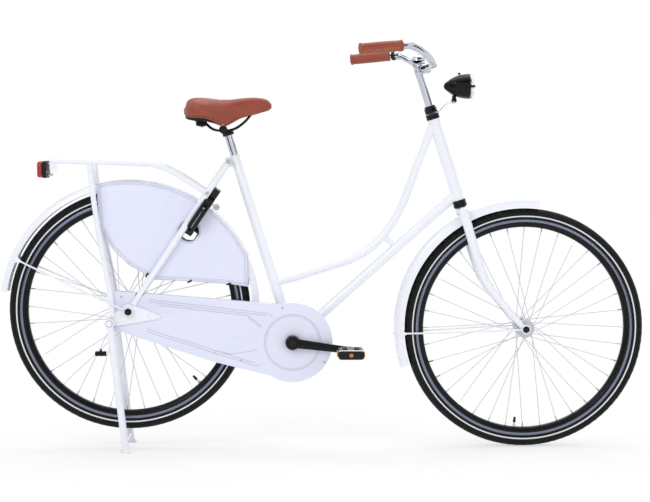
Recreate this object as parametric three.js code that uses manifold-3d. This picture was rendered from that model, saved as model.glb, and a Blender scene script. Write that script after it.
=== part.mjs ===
// Dutch city bike in millimetres, +Z up, facing +X, so the rider's right side is -Y.
// It stands on its two-legged stand with the rear wheel lifted and the front wheel on the ground.
// Places are worked out from the ground point below the rear axle; the finished group is then moved
// so that its origin is at the bottom centre of its bounding box.
import * as THREE from 'three';
import { mergeVertices } from 'three/addons/utils/BufferGeometryUtils.js';
import Module from 'manifold-3d';

const wasm = await Module();
wasm.setup();

// Fits and facets
const GAP = 0.3;
const OVERRUN = 2;
const WELD = 0.0005;
const HALF = 0.5;
const FULL_TURN = 2 * Math.PI;
const TUBE_SIDES = 12;
const OVAL_SIDES = 8;
const ROD_SIDES = 8;
const NUT_SIDES = 6;
const SPOKE_SIDES = 3;
const CORNER_STEPS = 2;
const HALF_TURN_DEGREES = 180;
const WHEEL_SIDES = 36;

// Layout of the bicycle
const WHEELBASE = 1173;
const STAND_LIFT = 57;
const HEAD_ANGLE = 72.4;
const FORK_RAKE = 72;
const SEAT_ANGLE = 72.9;
const BRACKET_DROP = 93;

// Tyres and rims
const TYRE_RADIUS = 357;
const TYRE_HALF_WIDTH = 20;
const TYRE_DEPTH = 33;
const TYRE_SHOULDER_DROP = 5;
const TYRE_SHOULDER_HALF = 13;
const RIM_FLANGE_HEIGHT = 6.4;
const RIM_SIDE_HEIGHT = 13;
const RIM_HEIGHT = 23;
const RIM_HALF_WIDTH = 16.5;
const RIM_FLANGE_WALL = 1.5;
const RIM_HUMP_HALF = 7;
const RIM_FLANGE_RADIUS = TYRE_RADIUS - TYRE_DEPTH;
const RIM_BED_RADIUS = RIM_FLANGE_RADIUS - RIM_FLANGE_HEIGHT;
const RIM_SIDE_RADIUS = RIM_FLANGE_RADIUS - RIM_SIDE_HEIGHT;
const RIM_INNER_RADIUS = RIM_FLANGE_RADIUS - RIM_HEIGHT;
const TYRE_SHOULDER_RADIUS = TYRE_RADIUS - TYRE_SHOULDER_DROP;
const TYRE_WIDEST_RADIUS = RIM_FLANGE_RADIUS + HALF * (TYRE_DEPTH - TYRE_SHOULDER_DROP);

// Mudguards and their stays
const MUDGUARD_SIDE_CLEARANCE = 7;
const MUDGUARD_HALF_WIDTH = TYRE_HALF_WIDTH + MUDGUARD_SIDE_CLEARANCE;
const MUDGUARD_WALL = 1.5;
const MUDGUARD_CROWN_HALF = 12;
const MUDGUARD_CHEEK_HALF = MUDGUARD_HALF_WIDTH - MUDGUARD_WALL;
const MUDGUARD_CHEEK_DROP = 9;
const REAR_GUARD_CLEARANCE = 27.5;
const REAR_GUARD_DEPTH = 19.5;
const REAR_GUARD_RADIUS = TYRE_RADIUS + REAR_GUARD_CLEARANCE;
const REAR_GUARD_FROM_ANGLE = -8;
const REAR_GUARD_TO_ANGLE = 171.5;
const REAR_GUARD_STEPS = 18;
const FRONT_GUARD_CLEARANCE = 31;
const FRONT_GUARD_DEPTH = 27;
const FRONT_GUARD_RADIUS = TYRE_RADIUS + FRONT_GUARD_CLEARANCE;
const FRONT_GUARD_FROM_ANGLE = 83.5;
const FRONT_GUARD_TO_ANGLE = 197.6;
const FRONT_GUARD_STEPS = 12;
const GUARD_STAY_RADIUS = 2.6;
const GUARD_STAY_STEPS = 14;
const REAR_GUARD_STAY_ANGLE = 155.5;
const FRONT_GUARD_STAY_ANGLE = 182.5;
const GUARD_STAY_START = 12.3;
// Shares of the guard's radius and of the eye's distance from the middle, from the eye to the middle
const GUARD_STAY_SHARES = [[0.2, 1], [0.6, 0.72], [0.9, 0.4], [0.935, 0.3], [0.965, 0.19]];

// Hubs, spokes and axles
const SPOKES_PER_SIDE = 18;
const SPOKE_CROSSES = 3;
const SPOKE_RADIUS = 1;
const SPOKE_STAGGER = 1.2;
const SPOKE_RIM_OFFSET = 2;
const SPOKE_END_SLOPE = 0.2;
const HUB_SIDES = 12;
const FLANGE_HALF_THICKNESS = 3;
const AXLE_RADIUS = 4.7;
const NUT_RADIUS = 9.5;
const AXLE_TIP = 3;
const REAR_FLANGE_RADIUS = 37;
const REAR_SHELL_RADIUS = 27;
const REAR_FLANGE_PLACE = 30;
const REAR_HUB_HALF = 50;
const DRIVER_RADIUS = 14;
const FRONT_FLANGE_RADIUS = 27;
const FRONT_SHELL_RADIUS = 16;
const FRONT_FLANGE_PLACE = 31;
const FRONT_HUB_HALF = 38;
const LOCKNUT_HEIGHT = 7.5;
const FRONT_LOCKNUT_HEIGHT = 12;
const FRONT_DROPOUT_INNER = FRONT_HUB_HALF + FRONT_LOCKNUT_HEIGHT;
const FRONT_DROPOUT_THICKNESS = 5;
const FRONT_DROPOUT_RADIUS = 14;
const LOCKNUT_RADIUS = 9;

// Chain drive
const CHAIN_PITCH = 12.7;
const CHAIN_LINKS = 106;
const RING_TEETH = 38;
const SPROCKET_TEETH = 19;
const CHAIN_LINE = 47;
const TOOTH_HALF_THICKNESS = 1;
const TOOTH_RISE = 2.4;
const TOOTH_ROOT = 4.2;
const TOOTH_BASE_HALF = 3;
const CHAIN_HALF_WIDTH = 4;
const CHAIN_GROOVE_HALF = 1.8;
const CHAIN_HALF_HEIGHT = 4.6;
const CHAIN_WEB = 1.1;
const RING_WINDOW_INNER = 24;
const RING_WINDOW_OUTER = 62;
const RING_ARMS = 5;
const RING_ARM_SHARE = 0.3;

// Bottom bracket and cranks
const BRACKET_SHELL_RADIUS = 21;
const BRACKET_SHELL_HALF = 35;
const BRACKET_CUP_RADIUS = 15.7;
const BRACKET_CUP_REACH = 5;
const SPINDLE_RADIUS = 8.5;
const CRANK_LENGTH = 170;
const CRANK_ANGLE = -7.6;
const CRANK_BOSS_RADIUS = 13;
const CRANK_HUB_RADIUS = 17;
const CRANK_CASE_CLEARANCE = 6;
const CRANK_THICKNESS = 14;
const CRANK_ROOT_HALF = 14;
const CRANK_END_HALF = 11;
const CRANK_SIDES = 8;
const CRANK_STEPS = 2;

// Pedals
const PEDAL_LENGTH = 76;
const PEDAL_WIDTH = 96;
const PEDAL_THICKNESS = 25;
const PEDAL_PIN_RADIUS = 6;
const PEDAL_OFFSET = 8;
const PEDAL_CAGE_WALL = 13;
const PEDAL_CORE_RADIUS = 11;
const PEDAL_CORNER = 9;

// Rear dropouts
const DROPOUT_INNER = REAR_HUB_HALF + LOCKNUT_HEIGHT;
const DROPOUT_THICKNESS = 5;
const DROPOUT_RADIUS = 22;
const DROPOUT_FRONT = 76;
const DROPOUT_FRONT_HALF = 10;
const AXLE_SPACER = 5.2;
const FRONT_AXLE_SPACER = 2;
const AXLE_EYE_RADIUS = 14;
const AXLE_EYE_THICKNESS = 3;
const AXLE_NUT_HEIGHT = 11;

// Fork
const STEERER_RADIUS = 12.7;
const STEERER_SOLID = 30;
const CROWN_HALF_HEIGHT = 8;
const CROWN_HALF_DEPTH = 14;
// The crown sits just above the front mudguard, which its front lower edge nearly touches
const CROWN_PLACE = CROWN_HALF_HEIGHT
  + Math.sqrt((FRONT_GUARD_RADIUS + GAP) ** 2 - (FORK_RAKE - CROWN_HALF_DEPTH) ** 2);
const BLADE_STEPS = 7;
const BLADE_GUARD_CLEARANCE = 9;
const BLADE_HALF_WIDTH = 10;
const BLADE_HALF_DEPTH = 14;
// Shares of the drop from the crown to the axle, of the forward rake and of the two half sizes
const BLADE_SHARES = [
  [0, 0, 1, 1], [0.3, -0.03, 1, 0.964], [0.5, -0.02, 0.95, 0.893], [0.6, 0.08, 0.9, 0.857],
  [0.7, 0.27, 0.8, 0.786], [0.82, 0.54, 0.7, 0.714], [0.975, 0.9, 0.45, 0.571],
];

// Frame tubes
const HEAD_TUBE_RADIUS = 17;
const HEAD_TUBE_BORE = 15;
const HEAD_TUBE_LENGTH = 251.8;
const RACE_HEIGHT = 2;
const LOWER_CUP_HEIGHT = 20.7;
const UPPER_CUP_HEIGHT = 15.5;
const LOCKNUT_RISE = 19;
const CUP_RADIUS = 20;
const LOWER_CUP_START = CROWN_PLACE + CROWN_HALF_HEIGHT + RACE_HEIGHT;
const HEAD_TUBE_START = LOWER_CUP_START + LOWER_CUP_HEIGHT;
const HEAD_TUBE_END = HEAD_TUBE_START + HEAD_TUBE_LENGTH;
const UPPER_CUP_END = HEAD_TUBE_END + UPPER_CUP_HEIGHT;
const LOCKNUT_END = UPPER_CUP_END + LOCKNUT_RISE;
const STEERER_END = LOCKNUT_END + RACE_HEIGHT;
const DOWN_TUBE_RADIUS = 14.3;
const DOWN_TUBE_RISE = 19.3;
const TOP_TUBE_RADIUS = 11.5;
const TOP_TUBE_HEAD_DROP = 13.5;
const TOP_TUBE_HEAD_SET_BACK = 6;
const TOP_TUBE_SEAT_JOINT = 180;
// Shares of the horizontal run and of the fall from the head tube to the seat tube
const TOP_TUBE_SHARES = [
  [0, 0], [0.048, 0.13], [0.11, 0.29], [0.18, 0.48], [0.24, 0.6], [0.31, 0.7], [0.41, 0.795],
  [0.53, 0.86], [0.66, 0.9], [0.84, 0.957], [1, 1],
];
const TOP_TUBE_STEPS = 14;
const BRACE_RADIUS = 9;
const BRACE_DOWN_TUBE_SHARE = 0.637;
const BRACE_TOP_TUBE_SHARE = [0.315, 0.703];
const SEAT_TUBE_RADIUS = 15;
const SEAT_TUBE_LENGTH = 576.5;
const SEAT_POST_RADIUS = 12.7;
const SEAT_EAR_LENGTH = 30;
const SEAT_EAR_REACH = 16;
const SEAT_EAR_HALF_WIDTH = 4.5;
const SEAT_BOLT_RADIUS = 4;
const SEAT_BOLT_SET_BACK = 23;
const SEAT_BOLT_DROP = 12;
const SEAT_BOLT_HEAD_RADIUS = 7;
const SEAT_BOLT_HEAD_HEIGHT = 5;
const SEAT_STAY_RADIUS = 9.5;
const SEAT_STAY_END_HALF_WIDTH = 5;
const SEAT_STAY_END_HALF_HEIGHT = 8;
// Shares of the distance from the axle to the seat bolt, and of the way out to the rear dropout
const SEAT_STAY_SHARES = [
  [0.045, 1], [0.397, 0.86], [0.728, 0.72], [0.852, 0.6], [0.946, 0.36], [0.986, 0.26],
];
const STAY_STEPS = 8;
const STAY_BRIDGE_RADIUS = 6;
const CHAIN_STAY_HALF_WIDTH = 6.4;
const CHAIN_STAY_HALF_HEIGHT = 11;
const CHAIN_STAY_INNER_PLACE = 30;
const CHAIN_STAY_OVERLAP = 1;
const CHAIN_STAY_OUTER_PLACE = DROPOUT_INNER + CHAIN_STAY_OVERLAP;
// Shares of the distance from the axle to the bracket, and of the way out to the dropout
const CHAIN_STAY_SHARES = [[0.985, -0.15], [0.8, 0], [0.36, 0], [0.25, 0.42], [0.16, 0.96], [0.12, 1]];

// Luggage rack: shares of its length back from the axle and of its height above it
const RACK_TUBE_RADIUS = 8;
const RACK_HALF_WIDTH = 62;
const RACK_LENGTH = 228;
const RACK_GUARD_CLEARANCE = 58.5;
const RACK_HEIGHT = REAR_GUARD_RADIUS + RACK_GUARD_CLEARANCE;
const RACK_TAB_HALF_THICKNESS = 3;
const RACK_RAIL_STEPS = 6;
const RACK_LEG_STEPS = 7;
const RACK_STAY_SHARE = 0.79;
const RACK_RAIL_SHARES = [[-0.41, 0.965], [0, 0.985], [0.52, 0.992], [0.97, 1]];
const RACK_LEG_SHARES = [[0.48, 0.985], [0.43, 0.74], [0.375, 0.54], [0.33, 0.41], [0.245, 0.17]];
const RACK_FOOT_SHARES = [[0.226, 0.1], [0.205, -0.035]];
const RACK_FOOT_HALF_THICKNESS = 2;
const RACK_FOOT_HALF_WIDTH = 8;
const RACK_BAR_RADIUS = 5;
const RACK_BAR_SHARES = [-0.4, 0, 0.4, 0.78];
const RACK_PLATE_HALF_WIDTH = 66;
const RACK_PLATE_HEIGHT = 40;
const RACK_PLATE_THICKNESS = 3;

// Tail lamp
const TAIL_LAMP_HALF_WIDTH = 46;
const TAIL_LAMP_HEIGHT = 52;
const TAIL_LAMP_DEPTH = 15;
const TAIL_LENS_DEPTH = 16;
const TAIL_LENS_INSET = 2;
const TAIL_LAMP_CORNER = 12;
const TAIL_LAMP_DROP = 1;
const TAIL_BOLT_RADIUS = 4;
const TAIL_STANDOFF = 14;
const TAIL_BOLT_SHARES = [0.3, -0.3];

// Chaincase
const CASE_INNER_DEPTH = 10;
const CASE_OUTER_DEPTH = 13;
const CASE_INNER_FACE = CHAIN_LINE - CASE_INNER_DEPTH;
const CASE_OUTER_FACE = CHAIN_LINE + CASE_OUTER_DEPTH;
const CRANK_INNER = CASE_OUTER_FACE + CRANK_CASE_CLEARANCE;
const CASE_WALL = 1.6;
const CASE_FRONT_RADIUS = 118;
const CASE_REAR = 47;
const CASE_REAR_TOP = 60;
const CASE_REAR_BOTTOM = 57;
const CASE_CORNER = 16;
const CASE_TOP_ANGLE = 107;
const CASE_BOTTOM_ANGLE = 236;
const CASE_SAG_SHARE = [0.643, 0.694];
const CASE_HUB_HOLE = 22;
const CASE_ARC_STEPS = 20;
const CASE_CORNER_STEPS = 3;
const CASE_CLEARANCE = 3;

// Dress guards, as polar shares of the wheel's edge, and the bite that clears the lock's arm
const GUARD_PANEL_RADIUS = REAR_GUARD_RADIUS - GAP;
const GUARD_PANEL_WALL = 1.8;
const GUARD_PANEL_STANDOFF = 4.4;
const GUARD_PANEL_EDGE_PLACE = MUDGUARD_HALF_WIDTH + GUARD_PANEL_STANDOFF;
const GUARD_PANEL_FLARE_SHARE = 0.052;
const GUARD_PANEL_FROM_ANGLE = 24;
const GUARD_PANEL_TO_ANGLE = 104;
const GUARD_PANEL_ARC_STEPS = 11;
// Shares of the panel's radius forward and up from the axle, from the rear corner round to the front
const GUARD_PANEL_SHARES = [
  [-0.219, 0.633], [-0.188, 0.595], [-0.127, 0.488], [-0.066, 0.419], [0.011, 0.349], [0.141, 0.281],
  [0.18, 0.243], [0.471, 0.228], [0.769, 0.205], [0.915, 0.182], [0.914, 0.213],
];
const GUARD_BITE_RADIUS = 30;
const GUARD_BITE_DROP = 56;
const GUARD_BITE_SIDES = 16;

// Ring lock, in the plane beside the seat stays
const LOCK_DROP = 8;
const LOCK_PLACE = TYRE_RADIUS - LOCK_DROP;
const LOCK_OFFSET = 17;
const LOCK_THICKNESS = 25;
const LOCK_INNER_RADIUS = 51.5;
const LOCK_OUTER_RADIUS = 72;
const LOCK_END_ANGLE = 22;
const LOCK_HEAD_REACH = 94;
const LOCK_HEAD_HALF_WIDTH = 40;
const LOCK_STEPS = 14;
const SHACKLE_CIRCLE = 60;
const SHACKLE_RADIUS = 4.5;
const SHACKLE_FROM_ANGLE = 24;
const SHACKLE_TO_ANGLE = 114;
const SHACKLE_STEPS = 9;
const SHACKLE_CLEARANCE = 0.6;
const SHACKLE_TRAVEL_ANGLE = 62;
const LEVER_HALF_WIDTH = 3;
const LEVER_REACH = 24;
const LEVER_SPAN_ANGLE = 9;
const KEY_SHAFT_RADIUS = 2.5;
const KEY_DEPTH = 10;
const KEY_BOW_RADIUS = 10;
const KEY_BOW_THICKNESS = 3;
const KEY_STANDOFF = 6;
const KEY_ANGLE = 141.5;

// Stand
const STAND_PIVOT_BACK = 53;
const STAND_PIVOT_DROP = 32;
const STAND_PIN_RADIUS = 5;
const STAND_EYE_RADIUS = 14;
const STAND_LEG_RADIUS = 11;
const STAND_LEG_PLACE = 83;
const STAND_FOOT_BACK = 8;
const STAND_FOOT_HALF_WIDTH = 16;
const STAND_FOOT_HEIGHT = 7;
const STAND_BAR_RADIUS = 6;
const STAND_BAR_HEIGHT = 27;
const STAND_PIN_HEAD_RADIUS = 9;
const STAND_PIN_HEAD = 4;
const PEG_HEIGHT = 293;
const PEG_REACH = 42;
const PEG_RADIUS = 6;

// Coaster brake arm
const BRAKE_ARM_PLACE = 46.5;
const BRAKE_ARM_THICKNESS = 3;
const BRAKE_ARM_HALF_WIDTH = 8;
const BRAKE_ARM_LENGTH = 102;
const BRAKE_ARM_DROP_ANGLE = 11.5;
const BRAKE_ARM_END_RADIUS = 8.4;
const BRAKE_ARM_CLIP = 10;

// Handlebar, stem and grips
const QUILL_RADIUS = 11;
const QUILL_DEPTH = 69;
const STEM_RISE = 118;
const STEM_FORWARD = 11;
const CLAMP_RADIUS = 18;
const CLAMP_HALF_WIDTH = 20;
const BAR_RADIUS = 11;
const BAR_SIDES = 8;
const BAR_STEPS = 20;
const BAR_HALF_WIDTH = 290;
const BAR_SWEEP = 195;
const BAR_RISE = 54;
// Shares of the bar's half width, of its sweep back and of its rise, from the clamp to the end
const BAR_SHARES = [
  [0.12, -0.01, 0], [0.42, -0.06, 0.03], [0.67, -0.075, 0.12], [0.79, 0.05, 0.58], [0.87, 0.26, 0.97],
  [0.93, 0.42, 0.95], [1, 1, 0.76],
];
const GRIP_RADIUS = 15.5;
const GRIP_LENGTH = 122;
const GRIP_CAP = 4;
const BELL_SHARE = [0.72, -0.045, 0.32];
const BELL_RADIUS = 22;
const BELL_HEIGHT = 18;
const BELL_STANDOFF = 7;

// Headlamp and its bracket
const LAMP_RADIUS = 37;
const LAMP_LENGTH = 79;
const LAMP_WALL = 2.5;
const LAMP_OVERHANG = 31.5;
const LAMP_RISE = 43.7;
const LAMP_BULLET_SHARES = [[0, 0], [0.35, 0.01], [0.62, 0.1], [0.82, 0.28], [0.95, 0.55], [1, 0.82]];
const LAMP_SIDES = 12;
const LENS_DEPTH = 12;
const LENS_EDGE = 3;
const LENS_SINK = 2;
const BRACKET_THICKNESS = 3;
const BRACKET_HALF_WIDTH = 11;
const BRACKET_RING_RADIUS = 19;
// Shares of the strap's rise and reach from the headset to the lamp's foot
const STRAP_RISE = 15;
const STRAP_REACH = 74;
const STRAP_SHARES = [[0, 0.2], [0.1, 0.32], [0.86, 0.62], [1, 1]];
const STRAP_STEPS = 4;
const LAMP_FOOT_HALF = 8;

// Saddle: half width, top, skirt and inner underside, as shares, from the tail to the nose
const SADDLE_LENGTH = 258;
const SADDLE_SET_BACK = 126.5;
const SADDLE_HALF_WIDTH = 108;
const SADDLE_RISE = 12.8;
const SADDLE_HEIGHT = 86;
const SADDLE_SHARES = [
  [0, 0.56, 0.62, 0.42, 0.44], [0.025, 0.76, 0.84, 0.33, 0.4], [0.08, 0.91, 0.94, 0.29, 0.38],
  [0.17, 1, 0.965, 0.28, 0.37], [0.26, 0.97, 0.955, 0.25, 0.37], [0.35, 0.82, 0.93, 0.14, 0.37],
  [0.44, 0.6, 0.915, 0, 0.37], [0.53, 0.44, 0.92, 0.1, 0.38], [0.63, 0.34, 0.945, 0.26, 0.42],
  [0.73, 0.28, 0.975, 0.35, 0.48], [0.83, 0.245, 0.985, 0.42, 0.53], [0.92, 0.22, 0.95, 0.5, 0.58],
  [0.975, 0.18, 0.86, 0.56, 0.62], [1, 0.11, 0.74, 0.61, 0.64],
];
// Cross-section, as shares of the half width and of the heights above
const SADDLE_SECTION_STEPS = 9;
const SADDLE_CROWN_POWER = 0.62;
const SADDLE_SKIRT_WIDTH_SHARE = 0.9;
const SADDLE_SKIRT_SHARE = 0.5;
const SADDLE_RECESS_WIDTH_SHARE = 0.8;
const SADDLE_CHANNEL_DEPTH = 4;
const SADDLE_CHANNEL_SHARE = 0.16;
const SADDLE_BASE_THICKNESS = 7;
const SADDLE_BASE_WIDTH_SHARE = 0.76;
const SADDLE_BASE_FIRST_INDEX = 1;
const SADDLE_BASE_LAST_INDEX = 11;
const SADDLE_BUMPER_RADIUS = 15;
const SADDLE_BUMPER_FORWARD = 50;
const SADDLE_BUMPER_SPREAD = 46;
const SADDLE_BUMPER_DROP = 16;
const RAIL_RADIUS = 3.5;
const RAIL_SPREAD = 22;
const RAIL_RISE = 2.8;
const RAIL_STEPS = 10;
const RAIL_PLUG_SHARE = 0.1;
// Shares of the saddle's length, of the rails' drop below the base and of their spread
const RAIL_SHARES = [
  [0.16, 0.02, 1], [0.22, 0.35, 1], [0.34, 1, 1], [0.55, 1, 1], [0.68, 0.45, 0.8], [0.78, -0.32, 0.55],
];
const CLAMP_BODY_RADIUS = 12;
const CLAMP_BODY_HALF_WIDTH = 30;
const CLAMP_COLLAR_RADIUS = 17;
const CLAMP_COLLAR_HEIGHT = 24;
const SEAT_POST_SHOWN = 75.5;
const SEAT_POST_DEPTH = 146.5;

// Finishes of the sub-parts
const FINISHES = {
  paint: { color: 0xe6e8f2, roughness: 0.35, metalness: 0.1 },
  panel: { color: 0xe2e4f8, roughness: 0.45, metalness: 0 },
  chrome: { color: 0xd8dade, roughness: 0.15, metalness: 1 },
  steel: { color: 0x9a9ca0, roughness: 0.4, metalness: 0.9 },
  black: { color: 0x17171a, roughness: 0.45, metalness: 0.2 },
  rubber: { color: 0x1b1b1d, roughness: 0.85, metalness: 0 },
  leather: { color: 0xb45f46, roughness: 0.6, metalness: 0 },
  lens: { color: 0xdde6ea, roughness: 0.1, metalness: 0.1 },
  redLens: { color: 0xb3121a, roughness: 0.2, metalness: 0 },
};

// Points and reference frames
const rad = THREE.MathUtils.degToRad;
const at = (x, y, z) => new THREE.Vector3(x, y, z);
const X_AXIS = at(1, 0, 0);
const Y_AXIS = at(0, 1, 0);
const Z_AXIS = at(0, 0, 1);
const CENTRE = at(0, 0, 0);
const pitchRadius = (teeth) => HALF * CHAIN_PITCH / Math.sin(Math.PI / teeth);
const boreRadius = (radius, sides) => (radius + GAP) / Math.cos(Math.PI / sides);

function axleToBracket() {
  // The closed chain's whole number of links sets the distance between its two centres
  const free = CHAIN_LINKS - HALF * (RING_TEETH + SPROCKET_TEETH);
  const spread = (RING_TEETH - SPROCKET_TEETH) / FULL_TURN;
  return HALF * CHAIN_PITCH * (HALF * free + HALF * Math.sqrt(free ** 2 - 8 * spread ** 2));
}

const rearAxle = at(0, 0, TYRE_RADIUS + STAND_LIFT);
const frontAxle = at(WHEELBASE, 0, TYRE_RADIUS);
const chainStayLength = axleToBracket();
const bracket = at(Math.sqrt(chainStayLength ** 2 - BRACKET_DROP ** 2), 0, rearAxle.z - BRACKET_DROP);

// A point counted along a sloping axis, forward of it and out to a side
function frameOn(base, angle) {
  const up = at(-Math.cos(rad(angle)), 0, Math.sin(rad(angle)));
  const forward = at(up.z, 0, -up.x);
  const place = (along, ahead = 0, side = 0) => (
    base.clone().addScaledVector(up, along).addScaledVector(forward, ahead).setY(side)
  );
  return { place, up, forward };
}
const headSlope = frameOn(CENTRE, HEAD_ANGLE);
const steering = frameOn(frontAxle.clone().addScaledVector(headSlope.forward, -FORK_RAKE), HEAD_ANGLE);
const seating = frameOn(bracket, SEAT_ANGLE);
const postTop = seating.place(SEAT_TUBE_LENGTH + SEAT_POST_SHOWN);
const seatBoltPlace = seating.place(SEAT_TUBE_LENGTH - SEAT_BOLT_DROP, -SEAT_BOLT_SET_BACK);

// The seat stays run from the rear axle to the seat bolt; the rack, guards and lock follow their slope
const stayRun = seatBoltPlace.clone().sub(rearAxle);
const stayAngleDegrees = THREE.MathUtils.radToDeg(Math.atan2(stayRun.z, stayRun.x));
const lockSlope = frameOn(rearAxle, HALF_TURN_DEGREES - stayAngleDegrees);
const seatStayLength = stayRun.length();

// A point at a distance and polar angle round an axle, and at a place across the bicycle
const around = (axle, radius, angle, side = 0) => (
  at(axle.x + radius * Math.cos(angle), side, axle.z + radius * Math.sin(angle))
);

// Closed geometry to a solid, with its faces turned outwards, and back
function solidFrom(geometry) {
  const bare = geometry.clone();
  const extras = Object.keys(bare.attributes).filter((name) => name !== 'position');
  extras.forEach((name) => bare.deleteAttribute(name));
  const welded = mergeVertices(bare, WELD);
  const corner = (index) => new THREE.Vector3().fromBufferAttribute(welded.attributes.position, index);
  const faces = [];
  let volume = 0;
  for (let i = 0; i < welded.index.count; i += 3) {
    const [a, b, c] = [i, i + 1, i + 2].map((k) => welded.index.getX(k));
    if (a !== b && b !== c && c !== a) {
      faces.push(a, b, c);
      volume += corner(a).dot(corner(b).cross(corner(c)));
    }
  }
  if (volume < 0) {
    faces.reverse();
  }
  return new wasm.Manifold(new wasm.Mesh({
    numProp: 3,
    vertProperties: Float32Array.from(welded.attributes.position.array),
    triVerts: Uint32Array.from(faces),
  }));
}

function geometryFrom(solid) {
  const mesh = solid.getMesh();
  const geometry = new THREE.BufferGeometry();
  geometry.setAttribute('position', new THREE.BufferAttribute(Float32Array.from(mesh.vertProperties), 3));
  geometry.setIndex(new THREE.BufferAttribute(Uint32Array.from(mesh.triVerts), 1));
  geometry.computeVertexNormals();
  return geometry;
}

const join = (...solids) => solids.reduce((whole, solid) => whole.add(solid));
const cut = (solid, ...tools) => tools.reduce((rest, tool) => rest.subtract(tool), solid);

function addPiece(group, name, solid, finish) {
  const mesh = new THREE.Mesh(geometryFrom(solid), new THREE.MeshStandardMaterial({ ...finish }));
  mesh.name = name;
  group.add(mesh);
}

// Straight round bar between two points, which may taper
function bar(from, to, radius, sides = TUBE_SIDES, endRadius = radius) {
  const run = to.clone().sub(from);
  const geometry = new THREE.CylinderGeometry(endRadius, radius, run.length(), sides);
  geometry.applyQuaternion(new THREE.Quaternion().setFromUnitVectors(Y_AXIS, run.normalize()));
  const middle = from.clone().lerp(to, HALF);
  geometry.translate(middle.x, middle.y, middle.z);
  return solidFrom(geometry);
}

// Bar across the bicycle, centred on a point
const crossBar = (centre, halfLength, radius, sides) => (
  bar(centre.clone().setY(centre.y - halfLength), centre.clone().setY(centre.y + halfLength), radius, sides)
);

// Revolved profile of [radius, place along the axis] pairs; a ring's profile closes on itself
function turned(profile, origin = CENTRE, axis = Y_AXIS, sides = TUBE_SIDES) {
  const points = profile.map(([radius, along]) => new THREE.Vector2(radius, along));
  const geometry = new THREE.LatheGeometry(points, sides);
  geometry.applyQuaternion(new THREE.Quaternion().setFromUnitVectors(Y_AXIS, axis));
  geometry.translate(origin.x, origin.y, origin.z);
  return solidFrom(geometry);
}
const ring = (profile, ...place) => turned([...profile, profile[0]], ...place);

// Hollow tube between two places on an axis
const sleeve = (inner, outer, from, to, ...place) => (
  ring([[outer, from], [outer, to], [inner, to], [inner, from]], ...place)
);

function circlePoints(radius, sides, tall = radius) {
  return Array.from({ length: sides }, (_, i) => (
    new THREE.Vector2(radius * Math.cos(FULL_TURN * i / sides), tall * Math.sin(FULL_TURN * i / sides))
  ));
}

// Round tube of one size along a smooth route
function tubeAlong(points, radius, sides, steps) {
  const extrudePath = new THREE.CatmullRomCurve3(points, false, 'centripetal');
  const section = new THREE.Shape(circlePoints(radius, sides));
  return solidFrom(new THREE.ExtrudeGeometry(section, { steps, bevelEnabled: false, extrudePath }));
}

// Skin over rings of equal count, closed by end caps or, for a loop, on itself
function loft(rings, outline, closed = false) {
  const count = outline.length;
  const index = [];
  const spans = closed ? rings.length : rings.length - 1;
  for (let i = 0; i < spans; i += 1) {
    const next = (i + 1) % rings.length;
    for (let j = 0; j < count; j += 1) {
      const k = (j + 1) % count;
      const [a, b, c, d] = [i * count + j, i * count + k, next * count + k, next * count + j];
      index.push(a, b, c, a, c, d);
    }
  }
  if (!closed) {
    const last = (rings.length - 1) * count;
    const turn = Math.sign(THREE.ShapeUtils.area(outline));
    for (const face of THREE.ShapeUtils.triangulateShape(outline, [])) {
      const same = Math.sign(THREE.ShapeUtils.area(face.map((k) => outline[k]))) === turn;
      const [a, b, c] = same ? face : [...face].reverse();
      index.push(c, b, a, a + last, b + last, c + last);
    }
  }
  const geometry = new THREE.BufferGeometry().setFromPoints(rings.flat());
  geometry.setIndex(index);
  return solidFrom(geometry);
}

// Oval tube whose [half width across, half height] change from point to point
function ovalTube(points, sizes, sides, steps) {
  const route = new THREE.CatmullRomCurve3(points, false, 'centripetal');
  const outline = circlePoints(1, sides);
  const rings = Array.from({ length: steps + 1 }, (_, i) => {
    const share = i / steps;
    const run = share * (points.length - 1);
    const before = Math.min(Math.floor(run), points.length - 2);
    const [wide, tall] = [0, 1].map((k) => (
      THREE.MathUtils.lerp(sizes[before][k], sizes[before + 1][k], run - before)
    ));
    const ahead = route.getTangent(share);
    const across = Y_AXIS.clone().addScaledVector(ahead, -Y_AXIS.dot(ahead)).normalize();
    const lift = ahead.clone().cross(across);
    const centre = route.getPoint(share);
    return outline.map((corner) => (
      centre.clone().addScaledVector(across, wide * corner.x).addScaledVector(lift, tall * corner.y)
    ));
  });
  return loft(rings, outline);
}

// Profile of [radius, place across] pairs swept round an axle, with polar angles from +X towards +Z
function arcSweep(profile, axle, fromAngle, toAngle, steps) {
  const rings = Array.from({ length: steps + 1 }, (_, i) => {
    const angle = rad(THREE.MathUtils.lerp(fromAngle, toAngle, i / steps));
    return profile.map(([radius, side]) => around(axle, radius, angle, side));
  });
  return loft(rings, profile.map(([radius, side]) => new THREE.Vector2(radius, side)));
}

// Outline drawn along two directions and extruded square to them from a starting point
function prism(outline, right, up, origin, depth, holes = []) {
  const shape = new THREE.Shape(outline);
  shape.holes = holes.map((hole) => new THREE.Path(hole));
  const geometry = new THREE.ExtrudeGeometry(shape, { depth, bevelEnabled: false });
  geometry.applyMatrix4(new THREE.Matrix4().makeBasis(right, up, right.clone().cross(up)));
  geometry.translate(origin.x, origin.y, origin.z);
  return solidFrom(geometry);
}

// Side-view outline extruded across the bicycle between two faces
const plate = (outline, oneFace, otherFace, holes) => (
  prism(
    outline, X_AXIS, Z_AXIS, at(0, Math.max(oneFace, otherFace), 0), Math.abs(otherFace - oneFace), holes,
  )
);

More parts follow.
